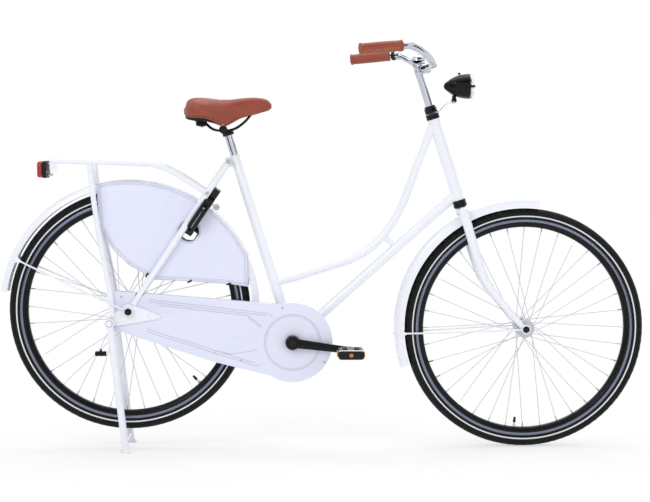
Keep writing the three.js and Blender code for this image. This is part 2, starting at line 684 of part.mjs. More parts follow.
// Taut outline round a set of circles, each given by its centre and radius
function tautOutline(circles, sides) {
  const points = circles.flatMap(({ centre, radius }) => (
    circlePoints(radius, sides).map((point) => point.add(centre))
  ));
  points.sort((a, b) => a.x - b.x || a.y - b.y);
  const chain = (ordered) => ordered.reduce((kept, point) => {
    while (kept.length > 1) {
      const [before, last] = kept.slice(-2);
      if (last.clone().sub(before).cross(point.clone().sub(last)) > 0) {
        break;
      }
      kept.pop();
    }
    return [...kept, point];
  }, []);
  return [...chain(points).slice(0, -1), ...chain([...points].reverse()).slice(0, -1)];
}

// Side-view outline with each corner rounded by an arc
function rounded(corners, radius, steps) {
  return corners.flatMap((corner, i) => {
    const before = corners.at(i - 1).clone().sub(corner);
    const after = corners[(i + 1) % corners.length].clone().sub(corner);
    const reach = Math.min(radius, HALF * before.length(), HALF * after.length());
    const start = corner.clone().add(before.setLength(reach));
    const end = corner.clone().add(after.setLength(reach));
    const bend = new THREE.QuadraticBezierCurve(start, corner, end);
    return bend.getPoints(steps);
  });
}
const flat = (point) => new THREE.Vector2(point.x, point.z);
const slopeBox = (slope, low, high, back, front) => (
  [[low, back], [low, front], [high, front], [high, back]].map(([along, ahead]) => (
    flat(slope.place(along, ahead))
  ))
);

const bicycle = new THREE.Group();

// Wheels: tyre, rim and a hub laced to the rim with crossed spokes
const tyreProfile = [
  [RIM_BED_RADIUS + GAP, RIM_HALF_WIDTH - RIM_FLANGE_WALL - GAP],
  [RIM_FLANGE_RADIUS + GAP, RIM_HALF_WIDTH - RIM_FLANGE_WALL - GAP],
  [TYRE_WIDEST_RADIUS, TYRE_HALF_WIDTH],
  [TYRE_SHOULDER_RADIUS, TYRE_SHOULDER_HALF],
];
const mirroredSide = (profile) => [...profile].reverse().map(([radius, side]) => [radius, -side]);
const tyreRing = [...tyreProfile, [TYRE_RADIUS, 0], ...mirroredSide(tyreProfile)];
const rimProfile = [
  [RIM_BED_RADIUS, RIM_HALF_WIDTH - RIM_FLANGE_WALL],
  [RIM_FLANGE_RADIUS, RIM_HALF_WIDTH],
  [RIM_SIDE_RADIUS, RIM_HALF_WIDTH],
  [RIM_INNER_RADIUS, RIM_HUMP_HALF],
];
const rimRing = [...rimProfile, ...mirroredSide(rimProfile)];

// Distance from the hub to the inside of the faceted rim, in one direction
function rimReach(angle) {
  const facet = FULL_TURN / WHEEL_SIDES;
  const offMiddle = THREE.MathUtils.euclideanModulo(angle, facet) - HALF * facet;
  return RIM_INNER_RADIUS * Math.cos(HALF * facet) / Math.cos(offMiddle);
}

function lacedHub(hubProfile, flangeRadius, flangePlace, phase) {
  const holeRadius = flangeRadius - 2 * FLANGE_HALF_THICKNESS;
  const step = FULL_TURN / SPOKES_PER_SIDE;
  const spokes = [-1, 1].flatMap((side) => (
    Array.from({ length: SPOKES_PER_SIDE }, (_, i) => {
      const lean = i % 2 === 0 ? 1 : -1;
      const hubAngle = phase + step * (i + (side > 0 ? HALF : 0));
      const rimAngle = hubAngle + lean * SPOKE_CROSSES * step;
      const foot = around(CENTRE, holeRadius, hubAngle, side * (flangePlace + lean * SPOKE_STAGGER));
      const headRadius = rimReach(rimAngle) - GAP - SPOKE_END_SLOPE;
      const head = around(CENTRE, headRadius, rimAngle, side * SPOKE_RIM_OFFSET);
      return bar(foot, head, SPOKE_RADIUS, SPOKE_SIDES);
    })
  ));
  return join(ring(hubProfile, CENTRE, Y_AXIS, HUB_SIDES), ...spokes);
}

function flangedHub(shellRadius, flangeRadius, flangePlace, rightEnd, leftEnd) {
  const bore = boreRadius(AXLE_RADIUS, HUB_SIDES);
  const inner = flangePlace - FLANGE_HALF_THICKNESS;
  const outer = flangePlace + FLANGE_HALF_THICKNESS;
  return [
    [bore, -rightEnd.reach], [rightEnd.radius, -rightEnd.reach], [rightEnd.radius, -outer],
    [flangeRadius, -outer], [flangeRadius, -inner], [shellRadius, -inner],
    [shellRadius, inner], [flangeRadius, inner], [flangeRadius, outer],
    [leftEnd.radius, outer], [leftEnd.radius, leftEnd.reach], [bore, leftEnd.reach],
  ];
}

function addWheel(name, axle, hubProfile, flangeRadius, flangePlace, phase) {
  const wheel = new THREE.Group();
  wheel.position.copy(axle);
  addPiece(wheel, `${name}_hub`, lacedHub(hubProfile, flangeRadius, flangePlace, phase), FINISHES.steel);
  addPiece(wheel, `${name}_rim`, ring(rimRing, CENTRE, Y_AXIS, WHEEL_SIDES), FINISHES.black);
  addPiece(wheel, `${name}_tyre`, ring(tyreRing, CENTRE, Y_AXIS, WHEEL_SIDES), FINISHES.rubber);
  bicycle.add(wheel);
}

// The rear spokes are turned so that the lock's shackle closes midway between two of them
const shacklePass = lockSlope.place(LOCK_PLACE - SHACKLE_CIRCLE, LOCK_OFFSET).sub(rearAxle);
const spokeStep = HALF * FULL_TURN / SPOKES_PER_SIDE;
const rearPhase = Math.atan2(shacklePass.z, shacklePass.x) + HALF * spokeStep;
const frontHubEnd = { radius: FRONT_SHELL_RADIUS - FLANGE_HALF_THICKNESS, reach: FRONT_HUB_HALF };
addWheel(
  'rear', rearAxle,
  flangedHub(
    REAR_SHELL_RADIUS, REAR_FLANGE_RADIUS, REAR_FLANGE_PLACE,
    { radius: DRIVER_RADIUS, reach: REAR_HUB_HALF },
    { radius: DRIVER_RADIUS, reach: BRAKE_ARM_PLACE - GAP },
  ),
  REAR_FLANGE_RADIUS, REAR_FLANGE_PLACE, rearPhase,
);
addWheel(
  'front', frontAxle,
  flangedHub(FRONT_SHELL_RADIUS, FRONT_FLANGE_RADIUS, FRONT_FLANGE_PLACE, frontHubEnd, frontHubEnd),
  FRONT_FLANGE_RADIUS, FRONT_FLANGE_PLACE, 0,
);

// Chain drive: toothed wheels, and the chain as a loop with the groove that the teeth run in
const stayAngle = Math.atan2(-BRACKET_DROP, bracket.x);
const wrapAngle = Math.asin((pitchRadius(RING_TEETH) - pitchRadius(SPROCKET_TEETH)) / chainStayLength);
const upperContact = stayAngle + Math.PI / 2 + wrapAngle;
const lowerContact = stayAngle - Math.PI / 2 - wrapAngle;

function chainStations(axle, teeth, fromAngle, toAngle) {
  const steps = Math.round((toAngle - fromAngle) * teeth / FULL_TURN);
  return Array.from({ length: steps + 1 }, (_, i) => (
    { axle, radius: pitchRadius(teeth), angle: THREE.MathUtils.lerp(fromAngle, toAngle, i / steps) }
  ));
}

function makeChain() {
  const stations = [
    ...chainStations(bracket, RING_TEETH, lowerContact, upperContact),
    ...chainStations(rearAxle, SPROCKET_TEETH, upperContact, lowerContact + FULL_TURN),
  ];
  const section = [
    [CHAIN_HALF_HEIGHT, -CHAIN_HALF_WIDTH], [CHAIN_HALF_HEIGHT, CHAIN_HALF_WIDTH],
    [-CHAIN_HALF_HEIGHT, CHAIN_HALF_WIDTH], [-CHAIN_HALF_HEIGHT, CHAIN_GROOVE_HALF],
    [CHAIN_HALF_HEIGHT - CHAIN_WEB, CHAIN_GROOVE_HALF], [CHAIN_HALF_HEIGHT - CHAIN_WEB, -CHAIN_GROOVE_HALF],
    [-CHAIN_HALF_HEIGHT, -CHAIN_GROOVE_HALF], [-CHAIN_HALF_HEIGHT, -CHAIN_HALF_WIDTH],
  ];
  const rings = stations.map(({ axle, radius, angle }) => (
    section.map(([rise, side]) => around(axle, radius + rise, angle, side - CHAIN_LINE))
  ));
  return loft(rings, section, true);
}

function toothedOutline(teeth) {
  const pitch = pitchRadius(teeth);
  const corners = [
    [pitch - TOOTH_ROOT, -TOOTH_BASE_HALF], [pitch + TOOTH_RISE, 0], [pitch - TOOTH_ROOT, TOOTH_BASE_HALF],
  ];
  return Array.from({ length: teeth }, (_, i) => (
    corners.map(([radius, offset]) => new THREE.Vector2(radius, offset).rotateAround(
      new THREE.Vector2(), FULL_TURN * i / teeth,
    ))
  )).flat();
}

// Opening between two arms of the chainring
function ringWindow(i) {
  const pitch = FULL_TURN / RING_ARMS;
  const from = pitch * (i + HALF * RING_ARM_SHARE);
  const to = pitch * (i + 1 - HALF * RING_ARM_SHARE);
  const middle = HALF * (from + to);
  const corner = (radius, angle) => new THREE.Vector2(radius * Math.cos(angle), radius * Math.sin(angle));
  return [
    corner(RING_WINDOW_INNER, middle), corner(RING_WINDOW_OUTER, from), corner(RING_WINDOW_OUTER, middle),
    corner(RING_WINDOW_OUTER, to),
  ];
}

function toothedWheel(teeth, boreSize, windows) {
  const holes = [circlePoints(boreSize, HUB_SIDES), ...windows];
  return plate(toothedOutline(teeth), -TOOTH_HALF_THICKNESS, TOOTH_HALF_THICKNESS, holes);
}

function addDrive() {
  addPiece(bicycle, 'chain', makeChain(), FINISHES.steel);
  const windows = Array.from({ length: RING_ARMS }, (_, i) => ringWindow(i));
  const chainring = new THREE.Group();
  chainring.position.set(bracket.x, -CHAIN_LINE, bracket.z);
  const ringSolid = toothedWheel(RING_TEETH, boreRadius(CRANK_BOSS_RADIUS, HUB_SIDES), windows);
  addPiece(chainring, 'chainring', ringSolid, FINISHES.steel);
  const sprocket = new THREE.Group();
  sprocket.position.set(rearAxle.x, -CHAIN_LINE, rearAxle.z);
  const sprocketSolid = toothedWheel(SPROCKET_TEETH, boreRadius(DRIVER_RADIUS, HUB_SIDES), []);
  addPiece(sprocket, 'rear_sprocket', sprocketSolid, FINISHES.steel);
  bicycle.add(chainring, sprocket);
}
addDrive();

// Bottom bracket, cranks and pedals
const shellEnd = BRACKET_SHELL_HALF + BRACKET_CUP_REACH;
const spindleBore = boreRadius(SPINDLE_RADIUS, TUBE_SIDES);
const bracketShell = ring([
  [spindleBore, -shellEnd], [BRACKET_CUP_RADIUS, -shellEnd], [BRACKET_CUP_RADIUS, -BRACKET_SHELL_HALF],
  [BRACKET_SHELL_RADIUS, -BRACKET_SHELL_HALF], [BRACKET_SHELL_RADIUS, BRACKET_SHELL_HALF],
  [BRACKET_CUP_RADIUS, BRACKET_SHELL_HALF], [BRACKET_CUP_RADIUS, shellEnd], [spindleBore, shellEnd],
], bracket);
const shellClearance = crossBar(bracket, BRACKET_SHELL_HALF + GAP, BRACKET_SHELL_RADIUS + GAP);
const crankOuter = CRANK_INNER + CRANK_THICKNESS;
const crankMiddle = CRANK_INNER + HALF * CRANK_THICKNESS;

// Crank on one side; turn is 1 where the arm points forwards and -1 where it points back
function makeCrank(side, turn) {
  const reach = at(Math.cos(rad(CRANK_ANGLE)), 0, Math.sin(rad(CRANK_ANGLE))).multiplyScalar(turn);
  const onArm = (distance, place) => bracket.clone().addScaledVector(reach, distance).setY(side * place);
  const pedalEye = onArm(CRANK_LENGTH, crankMiddle);
  const armHalf = HALF * CRANK_THICKNESS;
  const arm = ovalTube(
    [onArm(0, crankMiddle), onArm(HALF * CRANK_LENGTH, crankMiddle), pedalEye],
    [[armHalf, CRANK_ROOT_HALF], [armHalf, CRANK_END_HALF], [armHalf, CRANK_END_HALF]],
    CRANK_SIDES, CRANK_STEPS,
  );
  const bossInner = side < 0 ? CHAIN_LINE - CHAIN_HALF_WIDTH : CRANK_INNER - CRANK_THICKNESS;
  const boss = bar(onArm(0, bossInner), onArm(0, CRANK_INNER), CRANK_BOSS_RADIUS, HUB_SIDES);
  const hub = bar(
    onArm(0, CRANK_INNER - OVERRUN), onArm(0, crankOuter + OVERRUN), CRANK_HUB_RADIUS, HUB_SIDES,
  );
  const eye = crossBar(pedalEye, armHalf, CRANK_END_HALF + OVERRUN, CRANK_SIDES);
  const pinStart = onArm(CRANK_LENGTH, crankMiddle);
  const pinEnd = onArm(CRANK_LENGTH, crankOuter + PEDAL_OFFSET + PEDAL_WIDTH - PEDAL_CAGE_WALL);
  const pin = bar(pinStart, pinEnd, PEDAL_PIN_RADIUS, CRANK_SIDES);
  const socket = bar(
    onArm(0, bossInner - OVERRUN), onArm(0, crankOuter - OVERRUN), boreRadius(SPINDLE_RADIUS, TUBE_SIDES),
  );
  return cut(join(arm, boss, hub, eye, pin), socket);
}

// Pedal: a rounded block with two treads, a core round the pin and a gap before and behind the core
function makePedal(side) {
  const inner = crankOuter + PEDAL_OFFSET;
  const outer = inner + PEDAL_WIDTH;
  const [halfLength, halfHeight] = [HALF * PEDAL_LENGTH, HALF * PEDAL_THICKNESS];
  const corners = [[-1, -1], [1, -1], [1, 1], [-1, 1]].map(([x, z]) => (
    new THREE.Vector2(x * halfLength, z * halfHeight)
  ));
  const body = plate(rounded(corners, PEDAL_CORNER, CORNER_STEPS), side * inner, side * outer);
  const core = crossBar(at(0, side * HALF * (inner + outer), 0), HALF * PEDAL_WIDTH, PEDAL_CORE_RADIUS);
  const windowEnds = [PEDAL_CORE_RADIUS, halfLength - PEDAL_CAGE_WALL];
  const windows = [-1, 1].map((end) => {
    const [near, far] = windowEnds.map((reach) => end * reach);
    const opening = [[near, -halfLength], [far, -halfLength], [far, halfLength], [near, halfLength]].map(
      ([x, z]) => new THREE.Vector2(x, z),
    );
    return plate(opening, side * (inner + PEDAL_CAGE_WALL), side * (outer - PEDAL_CAGE_WALL));
  });
  const bore = bar(
    at(0, side * (inner - OVERRUN), 0), at(0, side * (outer - PEDAL_CAGE_WALL + GAP), 0),
    boreRadius(PEDAL_PIN_RADIUS, CRANK_SIDES), CRANK_SIDES,
  );
  return cut(join(cut(body, ...windows), core), bore);
}

function addCranks() {
  const spindle = crossBar(bracket, crankOuter - 2 * OVERRUN, SPINDLE_RADIUS);
  addPiece(bicycle, 'bottom_bracket_shell', bracketShell, FINISHES.paint);
  addPiece(bicycle, 'bottom_bracket_axle', spindle, FINISHES.steel);
  for (const [name, side, turn] of [['right', -1, 1], ['left', 1, -1]]) {
    addPiece(bicycle, `crank_${name}`, makeCrank(side, turn), FINISHES.black);
    const pedal = new THREE.Group();
    pedal.position.set(
      bracket.x + turn * CRANK_LENGTH * Math.cos(rad(CRANK_ANGLE)), 0,
      bracket.z + turn * CRANK_LENGTH * Math.sin(rad(CRANK_ANGLE)),
    );
    addPiece(pedal, `pedal_${name}`, makePedal(side), FINISHES.black);
    bicycle.add(pedal);
  }
}
addCranks();

// Frame: main tubes, cut where they meet
const headTubeClearance = bar(
  steering.place(HEAD_TUBE_START - OVERRUN), steering.place(HEAD_TUBE_END + OVERRUN),
  HEAD_TUBE_RADIUS + GAP,
);
const lowerCupClearance = bar(
  steering.place(LOWER_CUP_START - GAP), steering.place(HEAD_TUBE_START), CUP_RADIUS + GAP,
);
const seatTubeClearance = bar(
  seating.place(0), seating.place(SEAT_TUBE_LENGTH), SEAT_TUBE_RADIUS + GAP,
);

function onDownTube(share) {
  return bracket.clone().lerp(steering.place(HEAD_TUBE_START + DOWN_TUBE_RISE), share);
}

// A point at shares of the top tube's run back and of its fall, from the head tube to the seat tube
function onTopTube([run, fall]) {
  const start = steering.place(HEAD_TUBE_END - TOP_TUBE_HEAD_DROP, -TOP_TUBE_HEAD_SET_BACK);
  const end = seating.place(TOP_TUBE_SEAT_JOINT);
  return at(THREE.MathUtils.lerp(start.x, end.x, run), 0, THREE.MathUtils.lerp(start.z, end.z, fall));
}
const topTube = (radius) => tubeAlong(TOP_TUBE_SHARES.map(onTopTube), radius, TUBE_SIDES, TOP_TUBE_STEPS);

function addMainTubes() {
  const headTube = sleeve(
    HEAD_TUBE_BORE, HEAD_TUBE_RADIUS, HEAD_TUBE_START, HEAD_TUBE_END, steering.place(0), steering.up,
  );
  const downTube = cut(
    join(
      bar(onDownTube(0), onDownTube(1), DOWN_TUBE_RADIUS),
      bar(onDownTube(BRACE_DOWN_TUBE_SHARE), onTopTube(BRACE_TOP_TUBE_SHARE), BRACE_RADIUS),
    ),
    headTubeClearance, lowerCupClearance, shellClearance, seatTubeClearance,
    topTube(TOP_TUBE_RADIUS + GAP),
  );
  const upperTube = cut(topTube(TOP_TUBE_RADIUS), headTubeClearance, seatTubeClearance);
  addPiece(bicycle, 'head_tube', headTube, FINISHES.paint);
  addPiece(bicycle, 'down_tube', downTube, FINISHES.paint);
  addPiece(bicycle, 'top_tube', upperTube, FINISHES.paint);
}
addMainTubes();

// Seat tube, seat post bolt and the stays
const dropoutMiddle = DROPOUT_INNER + HALF * DROPOUT_THICKNESS;
const seatBoltHalf = SEAT_STAY_SHARES.at(-1)[1] * dropoutMiddle + SEAT_STAY_RADIUS + GAP;
const boltClearance = crossBar(
  seatBoltPlace, seatBoltHalf + OVERRUN, boreRadius(SEAT_BOLT_RADIUS, ROD_SIDES), ROD_SIDES,
);

// Distance of a seat stay's centre from the middle plane, at a share of its length
function staySpread(run) {
  const after = SEAT_STAY_SHARES.findIndex(([share]) => share > run);
  const [[runA, spreadA], [runB, spreadB]] = [SEAT_STAY_SHARES[after - 1], SEAT_STAY_SHARES[after]];
  return dropoutMiddle * THREE.MathUtils.mapLinear(run, runA, runB, spreadA, spreadB);
}

// A grown stay also reaches further down, so that its end face is clear as well
function seatStay(side, grow = 0) {
  const route = SEAT_STAY_SHARES.map(([run, spread]) => (
    lockSlope.place(run * seatStayLength, 0, side * spread * dropoutMiddle)
  ));
  route[0].addScaledVector(lockSlope.up, -grow);
  const round = [SEAT_STAY_RADIUS + grow, SEAT_STAY_RADIUS + grow];
  const sizes = route.map(() => round);
  sizes[0] = [SEAT_STAY_END_HALF_WIDTH + grow, SEAT_STAY_END_HALF_HEIGHT + grow];
  return ovalTube(route, sizes, OVAL_SIDES, STAY_STEPS);
}

// Bridge between the seat stays, just above the mudguard
function stayBridge(grow = 0) {
  const reach = REAR_GUARD_RADIUS + GAP + STAY_BRIDGE_RADIUS;
  const halfLength = staySpread(reach / seatStayLength);
  return crossBar(lockSlope.place(reach), halfLength, STAY_BRIDGE_RADIUS + grow, ROD_SIDES);
}

// A dropout: a plate round the axle with a nose along the chain stay and a lug for rack and stand
const standPivot = at(-STAND_PIVOT_BACK, 0, rearAxle.z - STAND_PIVOT_DROP);
const onChainStay = (share, side) => rearAxle.clone().lerp(bracket, share).setY(side);
function dropout(side, grow = 0) {
  const nose = onChainStay(DROPOUT_FRONT / chainStayLength);
  const outline = tautOutline([
    { centre: flat(rearAxle), radius: DROPOUT_RADIUS + grow },
    { centre: flat(nose), radius: DROPOUT_FRONT_HALF + grow },
    { centre: flat(standPivot), radius: STAND_EYE_RADIUS + grow },
  ], TUBE_SIDES);
  const outer = DROPOUT_INNER + DROPOUT_THICKNESS + grow;
  return plate(outline, side * (DROPOUT_INNER - grow), side * outer);
}

function chainStay(side, grow = 0) {
  const route = CHAIN_STAY_SHARES.map(([run, out]) => (
    onChainStay(run, side * THREE.MathUtils.lerp(CHAIN_STAY_INNER_PLACE, CHAIN_STAY_OUTER_PLACE, out))
  ));
  const size = [CHAIN_STAY_HALF_WIDTH + grow, CHAIN_STAY_HALF_HEIGHT + grow];
  return ovalTube(route, route.map(() => size), OVAL_SIDES, STAY_STEPS);
}

// Chain stay with its dropout, the bore for the axle and the pin that the stand turns on
function chainStayEnd(side) {
  const outer = DROPOUT_INNER + DROPOUT_THICKNESS;
  const pinEnd = STAND_LEG_PLACE + STAND_LEG_RADIUS + GAP;
  const onPin = (place) => standPivot.clone().setY(side * place);
  const headEnd = onPin(pinEnd + STAND_PIN_HEAD);
  const pin = bar(onPin(outer - HALF * DROPOUT_THICKNESS), headEnd, STAND_PIN_RADIUS, CRANK_SIDES);
  const head = bar(onPin(pinEnd), headEnd, STAND_PIN_HEAD_RADIUS, NUT_SIDES);
  const bore = crossBar(rearAxle, pinEnd, boreRadius(AXLE_RADIUS, HUB_SIDES), HUB_SIDES);
  const whole = join(chainStay(side), dropout(side), pin, head);
  return cut(whole, shellClearance, seatTubeClearance, bore);
}

function addRearTriangle() {
  const seatTube = sleeve(
    boreRadius(SEAT_POST_RADIUS, TUBE_SIDES), SEAT_TUBE_RADIUS, 0, SEAT_TUBE_LENGTH,
    seating.place(0), seating.up,
  );
  const clampEar = (grow, front) => plate(
    slopeBox(
      seating, SEAT_TUBE_LENGTH - SEAT_EAR_LENGTH - grow, SEAT_TUBE_LENGTH + grow,
      -SEAT_TUBE_RADIUS - SEAT_EAR_REACH - grow, front,
    ),
    -SEAT_EAR_HALF_WIDTH - grow, SEAT_EAR_HALF_WIDTH + grow,
  );
  const earedTube = join(seatTube, clampEar(0, OVERRUN - SEAT_TUBE_RADIUS));
  addPiece(bicycle, 'seat_tube', cut(earedTube, shellClearance, boltClearance), FINISHES.paint);
  const earClearance = clampEar(GAP, 0);
  const onBolt = (side, place) => seatBoltPlace.clone().setY(side * place);
  const boltEnds = [-1, 1].map((side) => bar(
    onBolt(side, seatBoltHalf), onBolt(side, seatBoltHalf + SEAT_BOLT_HEAD_HEIGHT),
    SEAT_BOLT_HEAD_RADIUS, NUT_SIDES,
  ));
  const bolt = crossBar(seatBoltPlace, seatBoltHalf + OVERRUN, SEAT_BOLT_RADIUS, ROD_SIDES);
  addPiece(bicycle, 'seat_post_bolt', join(bolt, ...boltEnds), FINISHES.steel);
  for (const [name, side] of [['right', -1], ['left', 1]]) {
    const bridged = () => cut(join(seatStay(side), stayBridge()), seatStay(-side, GAP));
    const stay = side > 0 ? bridged() : seatStay(side);
    addPiece(
      bicycle, `seat_stay_${name}`,
      cut(stay, seatTubeClearance, earClearance, boltClearance, dropout(side, GAP), chainStay(side, GAP)),
      FINISHES.paint,
    );
    addPiece(bicycle, `chain_stay_${name}`, chainStayEnd(side), FINISHES.paint);
  }
}
addRearTriangle();

// Headset, rear axle and coaster brake arm
function steppedAxle(axle, steps, tip) {
  const half = [...steps, [0, tip]];
  const profile = [...mirroredSide(half), ...half];
  return turned(profile, axle, Y_AXIS, NUT_SIDES);
}

// Stack along an axle: bare in the hub, locknut, bare in the dropout, spacer, bare in the eye, then nut
function axleStack(hubEnd, dropoutInner, dropoutOuter, spacer) {
  const washerEnd = dropoutOuter + GAP + spacer;
  const eyeEnd = washerEnd + 2 * GAP + AXLE_EYE_THICKNESS;
  return {
    eye: washerEnd + GAP,
    tip: eyeEnd + AXLE_NUT_HEIGHT + AXLE_TIP,
    steps: [
      [AXLE_RADIUS, hubEnd], [LOCKNUT_RADIUS, hubEnd], [LOCKNUT_RADIUS, dropoutInner - GAP],
      [AXLE_RADIUS, dropoutInner - GAP], [AXLE_RADIUS, dropoutOuter + GAP],
      [LOCKNUT_RADIUS, dropoutOuter + GAP], [LOCKNUT_RADIUS, washerEnd], [AXLE_RADIUS, washerEnd],
      [AXLE_RADIUS, eyeEnd], [NUT_RADIUS, eyeEnd],
      [NUT_RADIUS, eyeEnd + AXLE_NUT_HEIGHT], [AXLE_RADIUS, eyeEnd + AXLE_NUT_HEIGHT],
      [AXLE_RADIUS, eyeEnd + AXLE_NUT_HEIGHT + AXLE_TIP],
    ],
  };
}
const brakeArmOuter = BRAKE_ARM_PLACE + BRAKE_ARM_THICKNESS;
const rearStack = axleStack(
  REAR_HUB_HALF + GAP, DROPOUT_INNER, DROPOUT_INNER + DROPOUT_THICKNESS, AXLE_SPACER,
);
const frontStack = axleStack(
  FRONT_HUB_HALF + GAP, FRONT_DROPOUT_INNER, FRONT_DROPOUT_INNER + FRONT_DROPOUT_THICKNESS,
  FRONT_AXLE_SPACER,
);

function addRearFittings() {
  addPiece(bicycle, 'rear_axle', steppedAxle(rearAxle, rearStack.steps, rearStack.tip), FINISHES.black);
  const armAngle = stayAngle - rad(BRAKE_ARM_DROP_ANGLE);
  const armEnd = around(rearAxle, BRAKE_ARM_LENGTH, armAngle);
  const outline = tautOutline([
    { centre: flat(rearAxle), radius: DRIVER_RADIUS + OVERRUN },
    { centre: flat(armEnd), radius: BRAKE_ARM_HALF_WIDTH - OVERRUN },
  ], TUBE_SIDES);
  const arm = plate(outline, BRAKE_ARM_PLACE, brakeArmOuter);
  const clip = bar(
    armEnd.clone().setY(brakeArmOuter - BRAKE_ARM_CLIP), armEnd.clone().setY(brakeArmOuter),
    BRAKE_ARM_END_RADIUS, CRANK_SIDES,
  );
  const bore = crossBar(rearAxle, brakeArmOuter + OVERRUN, boreRadius(AXLE_RADIUS, HUB_SIDES), HUB_SIDES);
  addPiece(bicycle, 'coaster_brake_arm', cut(join(arm, clip), bore), FINISHES.steel);
  const cup = (from, to) => sleeve(
    boreRadius(STEERER_RADIUS, TUBE_SIDES), CUP_RADIUS, from, to, steering.place(0), steering.up,
  );
  addPiece(bicycle, 'lower_headset_cup', cup(LOWER_CUP_START, HEAD_TUBE_START - GAP), FINISHES.black);
  addPiece(bicycle, 'upper_headset_cup', cup(HEAD_TUBE_END + GAP, UPPER_CUP_END), FINISHES.black);
}
addRearFittings();

// Mudguards and their wire stays
function mudguardProfile(radius, skirt) {
  const outer = [
    [skirt, MUDGUARD_HALF_WIDTH], [radius - MUDGUARD_CHEEK_DROP, MUDGUARD_CHEEK_HALF],
    [radius, MUDGUARD_CROWN_HALF],
  ];
  const inner = [
    [radius - MUDGUARD_WALL, MUDGUARD_CROWN_HALF - MUDGUARD_WALL],
    [radius - MUDGUARD_CHEEK_DROP - HALF * MUDGUARD_WALL, MUDGUARD_CHEEK_HALF - MUDGUARD_WALL],
    [skirt, MUDGUARD_HALF_WIDTH - MUDGUARD_WALL],
  ];
  return [...outer, ...mirroredSide(outer), ...mirroredSide(inner), ...inner];
}

// Wire from an eye on one axle end, under the mudguard, to the eye on the other end
function guardStay(axle, radius, stepAngle, angle, eyePlace) {
  const eyeMiddle = eyePlace + HALF * AXLE_EYE_THICKNESS;
  const roof = (radius - MUDGUARD_WALL) * Math.cos(HALF * stepAngle) - GUARD_STAY_RADIUS - GAP;
  const [right, left] = [-1, 1].map((side) => [
    around(axle, GUARD_STAY_START, rad(angle), side * eyeMiddle),
    ...GUARD_STAY_SHARES.map(([run, out]) => (
      around(axle, run * radius, rad(angle), side * out * eyeMiddle)
    )),
  ]);
  const route = [...right, around(axle, roof, rad(angle)), ...left.reverse()];
  const wire = tubeAlong(route, GUARD_STAY_RADIUS, NUT_SIDES, GUARD_STAY_STEPS);
  const eyeEnd = eyePlace + AXLE_EYE_THICKNESS;
  const eyes = [-1, 1].map((side) => bar(
    axle.clone().setY(side * eyePlace), axle.clone().setY(side * eyeEnd), AXLE_EYE_RADIUS, CRANK_SIDES,
  ));
  const bore = crossBar(axle, eyeEnd + OVERRUN, boreRadius(AXLE_RADIUS, ROD_SIDES), ROD_SIDES);
  return cut(join(wire, ...eyes), bore);
}

function addMudguard(name, axle, guard) {
  const profile = mudguardProfile(guard.radius, guard.radius - guard.depth);
  const stepAngle = rad((guard.to - guard.from) / guard.steps);
  const shell = arcSweep(profile, axle, guard.from, guard.to, guard.steps);
  addPiece(bicycle, `${name}_mudguard`, shell, FINISHES.paint);
  const stay = guardStay(axle, guard.radius, stepAngle, guard.stayAngle, guard.eye);
  addPiece(bicycle, `${name}_mudguard_stay`, stay, FINISHES.black);
}
addMudguard('rear', rearAxle, {
  radius: REAR_GUARD_RADIUS, depth: REAR_GUARD_DEPTH,
  from: REAR_GUARD_FROM_ANGLE, to: REAR_GUARD_TO_ANGLE, steps: REAR_GUARD_STEPS,
  stayAngle: REAR_GUARD_STAY_ANGLE, eye: rearStack.eye,
});
addMudguard('front', frontAxle, {
  radius: FRONT_GUARD_RADIUS, depth: FRONT_GUARD_DEPTH,
  from: FRONT_GUARD_FROM_ANGLE, to: FRONT_GUARD_TO_ANGLE, steps: FRONT_GUARD_STEPS,
  stayAngle: FRONT_GUARD_STAY_ANGLE, eye: frontStack.eye,
});

// Luggage rack: a rail and a leg on each side, bars and a spine between them, and the rear plate
const onRack = (run, rise, side) => at(-run * RACK_LENGTH, side, rearAxle.z + rise * RACK_HEIGHT);

// A rail's front end is a flat tab against the outside of the seat stay
function rackRail(side) {
  const stayFace = staySpread(RACK_STAY_SHARE) + SEAT_STAY_RADIUS + GAP;
  const tab = lockSlope.place(
    RACK_STAY_SHARE * seatStayLength, 0, side * (stayFace + RACK_TAB_HALF_THICKNESS),
  );
  const rail = RACK_RAIL_SHARES.map(([run, rise]) => onRack(run, rise, side * RACK_HALF_WIDTH));
  const sizes = [
    [RACK_TAB_HALF_THICKNESS, RACK_TUBE_RADIUS], ...rail.map(() => [RACK_TUBE_RADIUS, RACK_TUBE_RADIUS]),
  ];
  return ovalTube([tab, ...rail], sizes, ROD_SIDES, RACK_RAIL_STEPS);
}

function rackLeg(side) {
  const legRoute = RACK_LEG_SHARES.map(([run, rise]) => onRack(run, rise, side * RACK_HALF_WIDTH));
  const footSpread = DROPOUT_INNER + DROPOUT_THICKNESS + GAP + RACK_FOOT_HALF_THICKNESS;
  const footRoute = RACK_FOOT_SHARES.map(([run, rise]) => onRack(run, rise, side * footSpread));
  const sizes = [
    ...legRoute.map(() => [RACK_TUBE_RADIUS, RACK_TUBE_RADIUS]),
    ...footRoute.map(() => [RACK_FOOT_HALF_THICKNESS, RACK_FOOT_HALF_WIDTH]),
  ];
  return ovalTube([...legRoute, ...footRoute], sizes, ROD_SIDES, RACK_LEG_STEPS);
}

function railHeight(run) {
  const after = RACK_RAIL_SHARES.findIndex(([share]) => share >= run);
  const [[runA, riseA], [runB, riseB]] = [RACK_RAIL_SHARES[after - 1], RACK_RAIL_SHARES[after]];
  return THREE.MathUtils.mapLinear(run, runA, runB, riseA, riseB);
}

